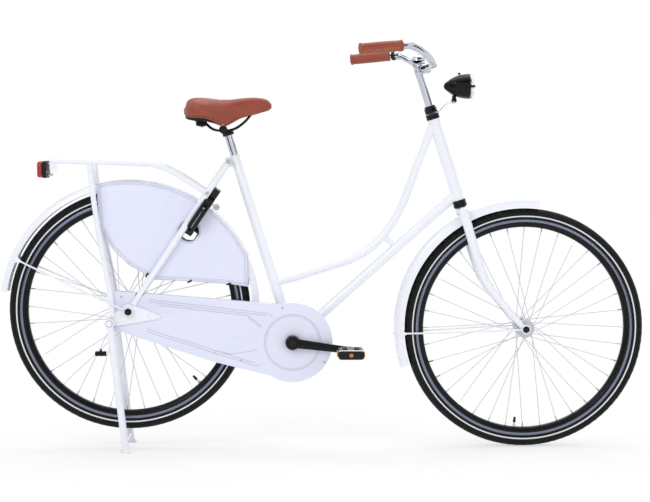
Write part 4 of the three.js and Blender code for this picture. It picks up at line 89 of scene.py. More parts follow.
def add_node(tree, kind, settings=(), **inputs):
    """A shader node; inputs go by socket name or, with an underscore before it, by number."""
    node = tree.nodes.new(kind)
    for key, value in dict(settings).items():
        setattr(node, key, value)
    for key, value in inputs.items():
        socket = node.inputs[int(key[1:])] if key[0] == "_" else node.inputs[key.replace("_", " ")]
        if isinstance(value, bpy.types.NodeSocket):
            tree.links.new(value, socket)
        else:
            socket.default_value = value
    return node


def grain(tree, place, kind, scale, stretch):
    """Height between 0 and 1 of a surface grain."""
    mapped = add_node(tree, "ShaderNodeMapping", Vector=place, Scale=stretch).outputs[0]
    if kind == "pebble":
        return add_node(tree, "ShaderNodeTexVoronoi", {"feature": "SMOOTH_F1"},
                        Vector=mapped, Scale=scale, Smoothness=0.5).outputs["Distance"]
    if kind == "weave":
        warp = add_node(tree, "ShaderNodeTexWave", {"bands_direction": "X"}, Vector=mapped, Scale=scale)
        weft = add_node(tree, "ShaderNodeTexWave", {"bands_direction": "Z"}, Vector=mapped, Scale=scale)
        return add_node(tree, "ShaderNodeMath", {"operation": "MAXIMUM"},
                        _0=warp.outputs["Fac"], _1=weft.outputs["Fac"]).outputs[0]
    if kind == "ribs":
        return add_node(tree, "ShaderNodeTexWave", {"bands_direction": "Z"},
                        Vector=mapped, Scale=scale).outputs["Fac"]
    return add_node(tree, "ShaderNodeTexNoise", Vector=mapped, Scale=scale, Detail=5.0).outputs["Fac"]


def blend_colours(tree, share, first, second, way="MIX"):
    """Two colours, or a colour and a grey factor, mixed by a share."""
    return add_node(tree, "ShaderNodeMix", {"data_type": "RGBA", "blend_type": way}, _0=share, _6=first,
                    _7=second).outputs[2]


def remap(tree, value, start, end, low, high):
    """A value's range from start to end, stretched to low to high."""
    return add_node(tree, "ShaderNodeMapRange", Value=value, From_Min=start, From_Max=end, To_Min=low,
                    To_Max=high).outputs[0]


LEAST_ROUGHNESS = 0.02


def finish(name, colour, second, rough, spread, bump, patch, scale, depth, kind="noise",
           stretch=(1, 1, 1), grain_shade=(0.94, 1.03), wear_and_edge_shade=None, **sockets):
    """A material with patches of two colours, uneven roughness, a grain with painted shade in its low
    spots, and an edge colour that is wear on the dark finishes and painted shade on the chaincase.
    """
    material = bpy.data.materials.new(name)
    material.use_nodes = True
    tree = material.node_tree
    shader = tree.nodes["Principled BSDF"]
    place = add_node(tree, "ShaderNodeTexCoord").outputs["Object"]
    cloud = add_node(tree, "ShaderNodeTexNoise", Vector=place, Scale=patch, Detail=6.0, Roughness=0.6)
    fine = grain(tree, place, kind, scale, stretch)
    mixed = blend_colours(tree, cloud.outputs["Fac"], colour, second)
    # The colour is darker in the grain's low spots and lighter on its raised ones, by the same height that
    # drives the bump: painted shade of the grain.
    mixed = blend_colours(tree, 1.0, mixed, remap(tree, fine, 0.25, 0.75, *grain_shade), "MULTIPLY")
    # Convex edges take another colour: lighter wear on the dark finishes, and on the chaincase plastic a
    # darker tone of the panel colour that is painted shade on its rounded edges.
    if wear_and_edge_shade:
        edge = add_node(tree, "ShaderNodeNewGeometry").outputs["Pointiness"]
        mixed = blend_colours(tree, remap(tree, edge, 0.53, 0.62, 0.0, 0.45), mixed, wear_and_edge_shade)
    tree.links.new(mixed, shader.inputs["Base Color"])
    smudge = add_node(tree, "ShaderNodeTexNoise", Vector=place, Scale=patch * 3, Detail=4.0)
    gloss = remap(tree, smudge.outputs["Fac"], 0.3, 0.7, max(LEAST_ROUGHNESS, rough - spread),
                  rough + spread)
    tree.links.new(gloss, shader.inputs["Roughness"])
    relief = add_node(tree, "ShaderNodeBump", Height=fine, Strength=bump, Distance=depth)
    tree.links.new(relief.outputs[0], shader.inputs["Normal"])
    for key, value in sockets.items():
        shader.inputs[key.replace("_", " ")].default_value = value
    return material


WHITE = srgb(243, 246, 253)
PANEL = srgb(232, 235, 253)
BROWN = srgb(160, 78, 60)
BLACK = srgb(10, 10, 13)
FINISHES = {
    "paint": finish("white_paint", WHITE, srgb(240, 243, 251), 0.28, 0.05, 0.06, patch=5, scale=900,
                    depth=0.00002, grain_shade=(0.985, 1.0), Coat_Weight=0.5, Coat_Roughness=0.12),
    "panel": finish("guard_vinyl", PANEL, srgb(228, 231, 250), 0.42, 0.07, 0.3, patch=4, kind="pebble",
                    scale=700, depth=0.00008),
    # Its edge colour, a darker tone of the panel colour, is painted shade on the case's rounded edges.
    "case": finish("case_plastic", PANEL, srgb(228, 231, 250), 0.34, 0.06, 0.18, patch=4, scale=500,
                   depth=0.00006, wear_and_edge_shade=srgb(218, 221, 240), Coat_Weight=0.25, Coat_Roughness=0.2),
    "chrome": finish("chrome", srgb(206, 210, 219), srgb(196, 200, 209), 0.08, 0.03, 0.02, patch=12,
                     scale=300, depth=0.00001, Metallic=1.0),
    "steel": finish("steel", srgb(196, 198, 202), srgb(176, 178, 184), 0.3, 0.1, 0.25, patch=40,
                    scale=700, stretch=(1, 0.1, 1), depth=0.00005, wear_and_edge_shade=srgb(222, 224, 228),
                    Metallic=1.0),
    "bright": finish("polished_alloy", srgb(206, 208, 212), srgb(190, 192, 198), 0.24, 0.08, 0.3,
                     patch=30, scale=900, stretch=(1, 0.1, 1), depth=0.00004, Metallic=1.0),
    "anodised": finish("anodised_band", srgb(132, 138, 158), srgb(116, 122, 142), 0.3, 0.08, 0.2,
                       patch=20, scale=900, stretch=(1, 0.1, 1), depth=0.00004, Metallic=0.8),
    "zinc": finish("zinc_plate", srgb(214, 216, 222), srgb(204, 206, 212), 0.4, 0.08, 0.2, patch=30,
                   scale=900, depth=0.00003, Metallic=0.3),
    "black": finish("black_paint", BLACK, srgb(15, 15, 18), 0.24, 0.08, 0.15, patch=18, scale=800,
                    depth=0.00004, wear_and_edge_shade=srgb(44, 44, 48), Specular_IOR_Level=0.22),
    "rim": finish("black_rim", srgb(10, 10, 15), srgb(16, 16, 22), 0.36, 0.08, 0.2, patch=22, scale=900,
                  depth=0.00004, wear_and_edge_shade=srgb(40, 40, 48), Specular_IOR_Level=0.2),
    "plastic": finish("black_plastic", srgb(14, 14, 17), srgb(20, 20, 23), 0.44, 0.1, 0.4, patch=26,
                      kind="pebble", scale=1100, depth=0.00008, wear_and_edge_shade=srgb(44, 44, 47),
                      Specular_IOR_Level=0.25),
    "rubber": finish("tyre_rubber", srgb(15, 15, 18), srgb(23, 23, 26), 0.66, 0.1, 0.5, patch=16,
                     scale=700, depth=0.0002, wear_and_edge_shade=srgb(42, 42, 45), Specular_IOR_Level=0.22),
    "leather": finish("brown_leather", BROWN, srgb(138, 62, 44), 0.4, 0.08, 0.7, patch=24, kind="pebble",
                      scale=620, depth=0.0002, wear_and_edge_shade=srgb(196, 116, 86), Specular_IOR_Level=0.4),
    "thread": finish("waxed_thread", srgb(214, 158, 116), srgb(186, 126, 86), 0.7, 0.1, 0.6, patch=60,
                     kind="ribs", scale=900, stretch=(1, 1, 1.5), depth=0.0001),
    "seat_thread": finish("seat_thread", srgb(138, 66, 40), srgb(118, 54, 32), 0.7, 0.1, 0.6, patch=60,
                          kind="ribs", scale=900, stretch=(1, 1, 1.5), depth=0.0001),
    "stripe": finish("reflective_band", srgb(236, 238, 242), srgb(214, 217, 222), 0.32, 0.08, 0.5,
                     patch=20, kind="pebble", scale=1400, depth=0.00005, Coat_Weight=0.3),
    "red": finish("red_lens", srgb(206, 26, 28), srgb(168, 10, 14), 0.16, 0.05, 0.6, patch=30,
                  kind="pebble", scale=260, depth=0.0006, Transmission_Weight=0.35, Coat_Weight=0.6,
                  IOR=1.49),
    "orange": finish("orange_reflector", srgb(246, 132, 20), srgb(222, 96, 8), 0.18, 0.05, 0.8, patch=40,
                     kind="pebble", scale=420, depth=0.0005, Transmission_Weight=0.2, Coat_Weight=0.6),
    "glass": finish("clear_lens", srgb(246, 248, 250), srgb(238, 241, 245), 0.05, 0.02, 0.5, patch=30,
                    kind="ribs", scale=70, stretch=(0, 0.5, 1), depth=0.0005, Transmission_Weight=0.92,
                    IOR=1.47),
    # A darker tone of the panel colour on the guards' seams and the chaincase's moulded lines: painted
    # shade.
    "seam": finish("painted_shade_line", srgb(204, 205, 222), srgb(196, 198, 216), 0.4, 0.06, 0.3, patch=20,
                   scale=600, depth=0.00005),
}


# Meshes. SLOTS has the finishes of each material slot; the first is the one of the CAD nodes that stay
SLOTS = {
    "frame_paint": ["paint"], "guard_panel": ["case", "panel", "seam"], "chrome": ["chrome", "anodised"],
    "steel": ["steel", "bright", "zinc"], "black_paint": ["black", "rim"], "black_plastic": ["plastic"],
    "tyre_rubber": ["rubber", "stripe"], "brown_leather": ["leather", "thread", "seat_thread"],
    "red_lens": ["red", "orange"], "lamp_glass": ["glass"],
}


def round_edges(obj, width, segments=3):
    edge = obj.modifiers.new("edge", "BEVEL")
    edge.width = width * MILLI
    edge.segments = segments
    edge.limit_method = "ANGLE"
    edge.angle_limit = math.radians(35)
    edge.harden_normals = True


def piece(name, shape, body, material, smooth=35, old=None, edge=None):
    """A mesh in bicycle millimetres that rides on a CAD body.

    shape is its points and faces, or a list of such pairs that make one piece. smooth is the angle from
    which an edge stays sharp, old is the CAD node that the piece stands for and edge is the width of its
    rounded edges.
    """
    points, faces = merged(*shape) if isinstance(shape, list) else shape
    mesh = bpy.data.meshes.new(name)
    mesh.from_pydata([part_point(point) for point in points], [], faces)
    work = bmesh.new()
    work.from_mesh(mesh)
    bmesh.ops.recalc_face_normals(work, faces=work.faces)
    work.to_mesh(mesh)
    work.free()
    mesh.polygons.foreach_set("use_smooth", [True] * len(mesh.polygons))
    mesh.set_sharp_from_angle(angle=math.radians(smooth))
    mesh.materials.append(FINISHES[material])
    obj = bpy.data.objects.new(name, mesh)
    bpy.context.scene.collection.objects.link(obj)
    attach(obj, body)
    if old:
        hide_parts(old)
    if edge:
        round_edges(obj, edge)
    return obj


def skin(rings, closed=False):
    """Points and faces of a surface over rings of equal count, each of which closes on itself."""
    count = len(rings[0])
    points = [point for ring in rings for point in ring]
    faces = []
    for i in range(len(rings) if closed else len(rings) - 1):
        low, high = i * count, (i + 1) % len(rings) * count
        for j in range(count):
            k = (j + 1) % count
            faces.append((low + j, low + k, high + k, high + j))
    if not closed:
        faces.append(tuple(range(count))[::-1])
        faces.append(tuple((len(rings) - 1) * count + j for j in range(count)))
    return points, faces


def merged(*parts):
    """Several shapes as one."""
    points, faces = [], []
    for some_points, some_faces in parts:
        start = len(points)
        points.extend(some_points)
        faces.extend(tuple(start + k for k in face) for face in some_faces)
    return points, faces


def centripetal(points, share):
    """The point at a share of a centripetal Catmull-Rom curve."""
    last = len(points) - 1
    i = min(int(last * share), last - 1)
    w = last * share - i
    b, c = points[i], points[i + 1]
    a = points[i - 1] if i > 0 else 2 * b - c
    d = points[i + 2] if i + 2 <= last else 2 * c - b
    ab, bc, cd = [max((q - p).length, 1e-6) ** 0.5 for p, q in ((a, b), (b, c), (c, d))]
    start = ((b - a) / ab - (c - a) / (ab + bc) + (c - b) / bc) * bc
    end = ((c - b) / bc - (d - b) / (bc + cd) + (d - c) / cd) * bc
    return b + start * w + (3 * (c - b) - 2 * start - end) * w ** 2 + (2 * (b - c) + start + end) * w ** 3


def sweep(route, sizes, sides=24, steps=None, across=Y, straight=False):
    """Round or oval tube along a route; sizes are (half width across, half height) at its points."""
    steps = steps or 8 * (len(route) - 1)
    shares = [i / steps for i in range(steps + 1)]
    if straight:
        shares = [i / (len(route) - 1) for i in range(len(route))]
        middle = list(route)
    else:
        middle = [centripetal(route, share) for share in shares]
    rings = []
    for i, (centre, share) in enumerate(zip(middle, shares)):
        ahead = (middle[min(i + 1, len(middle) - 1)] - middle[max(i - 1, 0)]).normalized()
        side = (across - ahead * across.dot(ahead)).normalized()
        lift = ahead.cross(side)
        run = share * (len(sizes) - 1)
        k = min(int(run), len(sizes) - 2)
        wide, tall = [sizes[k][n] + (sizes[k + 1][n] - sizes[k][n]) * (run - k) for n in (0, 1)]
        rings.append([
            centre + side * wide * math.cos(2 * math.pi * j / sides)
            + lift * tall * math.sin(2 * math.pi * j / sides) for j in range(sides)
        ])
    return skin(rings)


def tube(route, radius, **choices):
    return sweep(route, [(radius, radius)] * 2, **choices)


def rod(start, end, radius, sides=24, end_radius=None, edge=0.0, across=Y):
    """Straight bar, which may taper, with its end edges rounded off."""
    run = (end - start).normalized()
    if abs(run.dot(across)) > 0.9:
        across = X
    far = radius if end_radius is None else end_radius
    if not edge:
        return sweep([start, end], [(radius, radius), (far, far)], sides, across=across, straight=True)
    rounds = [(1 - math.cos(t), 1 - math.sin(t)) for t in (math.pi / 2 * k / 4 for k in range(5))]
    stations = [(start + run * edge * along, radius - edge * drawn) for along, drawn in rounds]
    stations += [(end - run * edge * drawn, far - edge * along) for along, drawn in rounds]
    return sweep([s[0] for s in stations], [(s[1], s[1]) for s in stations], sides, across=across,
                 straight=True)


def lathe(profile, centre, segments, axis=Y, side=1):
    """Profile of (radius, place along the axis) turned round the axis through centre."""
    reference = Z if abs(axis.dot(Z)) < 0.9 else X
    first = (reference - axis * axis.dot(reference)).normalized()
    second = axis.cross(first)
    rings = []
    for i in range(segments):
        turn = 2 * math.pi * i / segments
        out = first * math.cos(turn) + second * math.sin(turn)
        rings.append([centre + out * radius + axis * (side * along) for radius, along in profile])
    return skin(rings, closed=True)


def collar(bore, radius, low, high, drawn, along=None):
    """Profile of a ring whose outer corners are cut off, drawn inwards and along it."""
    along = along or drawn
    return [(bore, low), (radius - drawn, low), (radius, low + along), (radius, high - along),
            (radius - drawn, high), (bore, high)]


def both_sides(profile, axle):
    """The same turned profile on the right and on the left of a wheel."""
    return [lathe(profile, axle, WHEEL_SEGMENTS, side=side) for side in (-1, 1)]


def arc_sweep(profile, axle, start, end, steps):
    """Profile of (radius, place across) swept round an axle between two angles in degrees."""
    return skin([
        [around(axle, radius, start + (end - start) * i / steps, side) for radius, side in profile]
        for i in range(steps + 1)
    ])


def smooth_line(points, steps):
    """Pairs along a smooth line through the given pairs."""
    route = [Vector((a, b, 0)) for a, b in points]
    return [tuple(centripetal(route, i / steps))[:2] for i in range(steps + 1)]


def mirrored(profile):
    """The other half of a profile of (radius, place across), in the order that closes it."""
    return [(radius, -side) for radius, side in reversed(profile)]


# Wheels
WHEEL_SEGMENTS = 240
RIM_EDGE, RIM_BED, RIM_SIDE, RIM_INNER = 324, 317.6, 311, 301
SPOKES_A_SIDE, CROSSINGS, FLANGE_HALF = 18, 3, 3
SPOKE_STEP = 360 / SPOKES_A_SIDE
TYRE_FLANK = [(RIM_BED + 1, 12.5), (RIM_EDGE - 2, 14.2), (331, 18.2), (340, 20), (348.5, 18),
              (353.6, 12.5)]
TYRE_CROWN = [(355.4, 8.6), (353.9, 8.0), (353.9, 6.8), (355.9, 6.2), (356.4, 1.4), (355.2, 0.8)]
TREAD_BLOCKS, BLOCK_SHARE = 96, 0.36
TREAD = [(347.6, 17.6), (350.4, 17.9), (353.9, 13.6), (355.6, 9.6), (353.2, 9.6), (350.8, 13.4)]
BAND = [(331.6, 18.4), (331.6, 18.9), (333.4, 19.5), (335.4, 20.05), (335.4, 19.3), (333.4, 18.7)]
RIBS = [(326.5, 16.0), (343.5, 19.5), (346.5, 18.8)]


def tyre(name, axle, body):
    half = smooth_line(TYRE_FLANK, 14) + TYRE_CROWN
    piece(f"{name}_tyre_dressed", lathe(half + mirrored(half), axle, WHEEL_SEGMENTS), body, "rubber", 30,
          old=f"{name}_tyre")
    pitch = 360 / TREAD_BLOCKS
    blocks = []
    for i in range(TREAD_BLOCKS):
        for side in (-1, 1):
            start = pitch * (i + (0.5 if side > 0 else 0))
            blocks.append(skin([[around(axle, r, start + pitch * k, side * s) for r, s in TREAD]
                                for k in (0.0, BLOCK_SHARE)]))
    piece(f"{name}_tyre_tread", blocks, body, "rubber", 20)
    piece(f"{name}_tyre_stripe", both_sides(BAND, axle), body, "stripe", 30)
    ribs = [lathe([(r - 0.5, w), (r, w + 0.7), (r + 0.5, w)], axle, WHEEL_SEGMENTS, side=side)
            for side in (-1, 1) for r, w in RIBS]
    piece(f"{name}_tyre_ribs", ribs, body, "rubber", 30)


RIM = [(RIM_BED - 3, 7), (RIM_BED, 13), (RIM_BED + 1.2, 14.7), (RIM_EDGE - 7.5, 15.9), (RIM_SIDE, 16.4),
       (306.5, 13.6), (303, 10.4), (RIM_INNER, 6.4), (RIM_INNER - 0.1, 2.5)]
FLANGE = [(RIM_EDGE - 7.6, 15.6), (RIM_EDGE - 7.4, 16.5), (RIM_EDGE - 0.9, 16.5), (RIM_EDGE, 16.0),
          (RIM_EDGE, 15.1), (RIM_EDGE - 1.2, 14.7), (RIM_EDGE - 6, 14.7)]


def rim(name, axle, body):
    piece(f"{name}_rim_dressed", lathe(RIM + mirrored(RIM), axle, WHEEL_SEGMENTS), body, "rim", 30,
          old=f"{name}_rim")
    piece(f"{name}_rim_flange", both_sides(FLANGE, axle), body, "anodised", 30)


def laced(name, axle, body, shell, flange, place, phase, ends):
    """Hub shell between two flanges, and spokes that cross on their way to the rim.

    shell and flange are radii, place is the flanges' middle and ends are where the hub stops on the right
    and on the left.
    """
    inner, outer = place - FLANGE_HALF, place + FLANGE_HALF
    barrel = smooth_line([(flange - 1, -inner + 0.4), (shell + 4, -inner + 2.4), (shell, -inner + 8),
                          (shell - 0.6, 0), (shell, inner - 8), (shell + 4, inner - 2.4),
                          (flange - 1, inner - 0.4)], 30)
    profile = [(5.2, -ends[0]), (13.4, -ends[0]), (14, -ends[0] + 0.8), (14, -outer),
               (flange - 1, -outer),
               (flange, -outer + 1), (flange, -inner - 1)] + barrel
    profile += [(flange, inner + 1), (flange, outer - 1), (flange - 1, outer), (14, outer),
                (14, ends[1] - 0.8), (13.4, ends[1]), (5.2, ends[1])]
    piece(f"{name}_hub_shell", lathe(profile, axle, 64), body, "bright", 30, old=f"{name}_hub")
    spokes, nipples, heads = [], [], []
    for side in (-1, 1):
        for i in range(SPOKES_A_SIDE):
            lean = 1 if i % 2 == 0 else -1
            hub_angle = phase + SPOKE_STEP * (i + (0.5 if side > 0 else 0))
            rim_angle = hub_angle + lean * CROSSINGS * SPOKE_STEP
            foot = around(axle, flange - 6, hub_angle, side * (place + lean * 1.2))
            head = around(axle, RIM_INNER - 1.4, rim_angle, side * 2)
            run = (head - foot).normalized()
            spokes.append(rod(foot, head, 1.0, 8))
            nipples.append(rod(head - run * 12, head + run * 1.2, 1.9, 8, 2.3, across=X))
            elbow = around(axle, flange - 6, hub_angle)
            heads.append(rod(elbow + Y * side * (inner - 0.9), elbow + Y * side * (outer + 1.0), 2.1, 10))
    piece(f"{name}_spokes", spokes, body, "zinc", 50)
    piece(f"{name}_nipples", nipples, body, "chrome", 40)
    piece(f"{name}_spoke_heads", heads, body, "steel", 40)


def valve(name, axle, body, degrees):
    stem = rod(around(axle, 300, degrees), around(axle, 281, degrees), 3.2, 16)
    nut = rod(around(axle, 300.4, degrees), around(axle, 297.2, degrees), 6, 6)
    piece(f"{name}_valve_stem", [stem, nut], body, "chrome", 30)
    cap = rod(around(axle, 288, degrees), around(axle, 272, degrees), 4.4, 16, 3.4, edge=0.8)
    piece(f"{name}_valve_cap", cap, body, "plastic", 40)


# The ring lock's shackle passes midway between two spokes of the rear wheel.
LOCK_PLACE, LOCK_AHEAD = 349, 17
PASS_PLACE = on_stay(LOCK_PLACE - 60, LOCK_AHEAD) - REAR_AXLE
REAR_PHASE = math.degrees(math.atan2(PASS_PLACE.z, PASS_PLACE.x)) + SPOKE_STEP / 4
for wheel, wheel_axle, shell, flange, place, wheel_phase, ends in (
        ("rear", REAR_AXLE, 27, 37, 30, REAR_PHASE, (50, 46.2)),
        ("front", FRONT_AXLE, 16, 27, 31, 0, (38, 38))):
    tyre(wheel, wheel_axle, f"{wheel}_wheel")
    rim(wheel, wheel_axle, f"{wheel}_wheel")
    laced(wheel, wheel_axle, f"{wheel}_wheel", shell, flange, place, wheel_phase, ends)
valve("rear", REAR_AXLE, "rear_wheel", REAR_PHASE - 105)
valve("front", FRONT_AXLE, "front_wheel", -95)


# Solid plates, lines and weld beads
def plate(outline, low, high):
    """Side-view outline of (x, z) pairs between two places across the bicycle."""
    return skin([[Vector((x, side, z)) for x, z in outline] for side in (low, high)])


def span(side, inner, outer):
    """Two places on one side of the bicycle, the lower Y first."""
    return sorted((side * inner, side * outer))


def crosswise(middle, half, radius, sides):
    """Rod across the bicycle."""
    return rod(middle - Y * half, middle + Y * half, radius, sides)


def block(middle, *half):
    """Box about its middle, with its half lengths along X, Y and Z."""
    low, high = middle - Vector(half), middle + Vector(half)
    return plate([(low.x, low.z), (high.x, low.z), (high.x, high.z), (low.x, high.z)], low.y, high.y)


def circle(centre, radius, count, start=0.0, sweep_degrees=360.0):
    """Pairs along a circle or an arc; the arc's own end is left out."""
    return [(centre[0] + radius * math.cos(math.radians(start + sweep_degrees * i / count)),
             centre[1] + radius * math.sin(math.radians(start + sweep_degrees * i / count)))
            for i in range(count)]


def between(pairs, run):
    """The value at a run along pairs of (run, value), held at the last one."""
    for (run_a, value_a), (run_b, value_b) in zip(pairs, pairs[1:]):
        if run <= run_b:
            return value_a + (value_b - value_a) * (run - run_a) / (run_b - run_a)
    return pairs[-1][1]


def weld_bead(centre, axis, radius):
    """Thin fillet of weld round a tube where it meets another."""
    profile = [(radius + 1.4 * math.cos(t), 2.24 * math.sin(t))
               for t in (2 * math.pi * k / 8 for k in range(8))]
    return lathe(profile, centre, 40, axis)


# Frame tubes
HEAD_LOW, HEAD_HIGH = 422.64, 674.44
SEAT_TUBE_TOP = 576.5


def on_top_tube(run, fall):
    start, end = on_steering(HEAD_HIGH - 13.5, -6), on_seat(180)
    return Vector((start.x + (end.x - start.x) * run, 0, start.z + (end.z - start.z) * fall))


def on_down_tube(share):
    return BRACKET + (on_steering(HEAD_LOW + 19.3) - BRACKET) * share


TOP_TUBE_SHARES = [(0, 0), (0.048, 0.13), (0.11, 0.29), (0.18, 0.48), (0.24, 0.6), (0.31, 0.7),
                   (0.41, 0.795), (0.53, 0.86), (0.66, 0.9), (0.84, 0.957), (1, 1)]
TOP_TUBE_ROUTE = [on_top_tube(*pair) for pair in TOP_TUBE_SHARES]
piece("top_tube_dressed", tube(TOP_TUBE_ROUTE, 11.5, sides=28, steps=120), "frame", "paint",
      old="top_tube")
BRACE_ENDS = on_down_tube(0.637), on_top_tube(0.315, 0.703)
piece("down_tube_dressed", [rod(on_down_tube(0), on_down_tube(1), 14.3, 32), rod(*BRACE_ENDS, 9, 24)],
      "frame", "paint", old="down_tube")
head_profile = [(17.0, HEAD_LOW + 9), (18.2, HEAD_LOW + 8), (18.4, HEAD_LOW + 0.6), (17.8, HEAD_LOW),
                (14, HEAD_LOW), (14, HEAD_HIGH), (17.8, HEAD_HIGH), (18.4, HEAD_HIGH - 0.6),
                (18.2, HEAD_HIGH - 8), (17.0, HEAD_HIGH - 9)]
piece("head_tube_dressed", lathe(head_profile, on_steering(0), 48, STEER_UP), "frame", "paint", 50,
      old="head_tube")
seat_profile = [(15, 0), (15, SEAT_TUBE_TOP - 0.8), (14.4, SEAT_TUBE_TOP), (13.3, SEAT_TUBE_TOP),
                (13.3, 0)]
piece("seat_tube_dressed", lathe(seat_profile, on_seat(0), 40, SEAT_UP), "frame", "paint", 50,
      old="seat_tube")
ear = [on_seat(along, ahead) for along, ahead in ((547, -31), (547, -14), (576, -14), (576, -31))]
for side_name, side in SIDES.items():
    piece(f"seat_ear_{side_name}", plate([(p.x, p.z) for p in ear], side * 0.7, side * 4.5), "frame",
          "paint", edge=1.2)
piece("seat_post_dressed", rod(on_seat(430), on_seat(652), 12.7, 40, edge=0.6), "saddle", "chrome",
      old="seat_post")


def head_cup(name, low, high, node):
    """Stepped cup with a groove round its middle."""
    tall = high - low
    profile = [(16, low), (19.2, low), (20, low + 0.8), (20, low + tall * 0.42),
               (19.3, low + tall * 0.48),
               (19.3, low + tall * 0.56), (20, low + tall * 0.62), (20, high - 0.8), (19.2, high),
               (16, high)]
    piece(name, lathe(profile, on_steering(0), 48, STEER_UP), "frame", "black", 40, old=node)


head_cup("upper_cup_dressed", HEAD_HIGH + 0.3, 689.94, "upper_headset_cup")
head_cup("lower_cup_dressed", 401.94, HEAD_LOW - 0.3, "lower_headset_cup")
brace_foot, brace_top = BRACE_ENDS
brace_way = (brace_top - brace_foot).normalized()
piece("brace_welds", [weld_bead(brace_foot + brace_way * 13.4, brace_way, 9),
                      weld_bead(brace_top - brace_way * 11.2, brace_way, 9)], "frame", "paint", 60)

# Stays
STAY_SHARES = [(0.045, 1), (0.397, 0.86), (0.728, 0.72), (0.852, 0.6), (0.946, 0.36), (0.986, 0.26)]
DROPOUT_MIDDLE, STAY_RADIUS, BRIDGE_PLACE = 60, 9.5, 390.8


def stay_spread(run):
    """How far each seat stay is from the middle at a share of its length."""
    return DROPOUT_MIDDLE * between(STAY_SHARES, run)


for side_name, side in SIDES.items():
    stay_route = [on_stay(run * STAY_LENGTH, 0, side * spread * DROPOUT_MIDDLE)
                  for run, spread in STAY_SHARES]
    stay_parts = [sweep(stay_route, [(5, 8)] + [(STAY_RADIUS, STAY_RADIUS)] * 5, steps=72, sides=24)]
    if side_name == "left":
        bridge_half = stay_spread(BRIDGE_PLACE / STAY_LENGTH)
        stay_parts.append(crosswise(on_stay(BRIDGE_PLACE), bridge_half, 6, 20))
    piece(f"seat_stay_{side_name}_dressed", stay_parts, "frame", "paint", 50,
          old=f"seat_stay_{side_name}")


# Mudguards: rolled edges, a rounded crown and bright bolts for their stays
REAR_GUARD, FRONT_GUARD, GUARD_SHEET = 384.5, 388, 1.3


def mudguard_profile(radius, depth):
    """Closed section of (radius, place across) from one rolled edge over the crown to the other."""
    outer = [(radius - depth, 27)] + smooth_line(
        [(radius - depth + 1, 27), (radius - 9, 22.6), (radius - 2.4, 16), (radius, 7.5), (radius, 0)],
        16)
    inner = [(r - GUARD_SHEET, s * 0.945) for r, s in reversed(outer)]
    inner[-1] = (radius - depth, 25.4)
    bead = [(radius - depth - 0.9, 25.9), (radius - depth - 0.9, 26.7)]
    half = outer[::-1] + bead[::-1] + inner[::-1]
    return half[:-1] + mirrored(half[1:-1])


def mudguard(name, axle, body, radius, depth, start, end, steps):
    piece(f"{name}_mudguard_dressed", arc_sweep(mudguard_profile(radius, depth), axle, start, end,
                                                steps), body, "paint", 50, old=f"{name}_mudguard")


mudguard("rear", REAR_AXLE, "frame", REAR_GUARD, 19.5, -8, 171.5, 150)
mudguard("front", FRONT_AXLE, "fork", FRONT_GUARD, 27, 83.5, 197.6, 100)


def guard_stay(name, axle, body, radius, degrees, eye, facet):
    """Wire from one axle end, under the guard and back to the other end.

    eye is where its loops lie and facet is the angle of one flat of the CAD's guard, which the wire stays
    under.
    """
    roof = (radius - 1.5) * math.cos(math.radians(facet / 2)) - 2.9
    pairs = [(12.3 / radius, 1), (0.2, 1), (0.6, 0.72), (0.9, 0.4), (0.935, 0.3), (0.965, 0.19)]
    right, left = [[around(axle, run * radius, degrees, side * out * (eye + 1.5)) for run, out in pairs]
                   for side in (-1, 1)]
    route = right + [around(axle, roof, degrees)] + left[::-1]
    parts = [tube(route, 2.6, sides=14, steps=160)]
    parts += [lathe(collar(5.2, 14, *span(side, eye, eye + 3), 0.6), axle, 40) for side in (-1, 1)]
    piece(f"{name}_guard_stay_dressed", parts, body, "paint", 50, old=f"{name}_mudguard_stay")
    out = around(axle, 1, degrees) - axle
    crown = around(axle, radius, degrees)
    tabs = []
    for side in (-1, 1):
        tab = [around(axle, radius - back, degrees + turn) for back, turn in
               ((18.5, 2.1), (18.5, -2.1), (26, -0.9), (36, -0.5), (36, 0.5), (26, 0.9))]
        tabs.append(plate([(p.x, p.z) for p in tab], *span(side, 26, 27.6)))
    piece(f"{name}_guard_tabs", tabs, body, "paint", 30, edge=0.5)
    piece(f"{name}_guard_bolt", rod(crown - out * 3.5, crown + out * 1.6, 4.2, 20, 3.4), body, "bright",
          30)


guard_stay("rear", REAR_AXLE, "frame", REAR_GUARD, 155.5, 68.3, 179.5 / 18)
guard_stay("front", FRONT_AXLE, "fork", FRONT_GUARD, 182.5, 57.6, 114.1 / 12)


# Luggage rack
RACK_LENGTH, RACK_TALL, RACK_HALF, LEG_HALF, BARS_HALF = 228, 443, 62, 64.8, 56


def on_rack(run, rise, side=0.0):
    """A place by its shares of the rack's length behind the axle and of its height above the axle."""
    return Vector((-run * RACK_LENGTH, side, REAR_AXLE.z + rise * RACK_TALL))


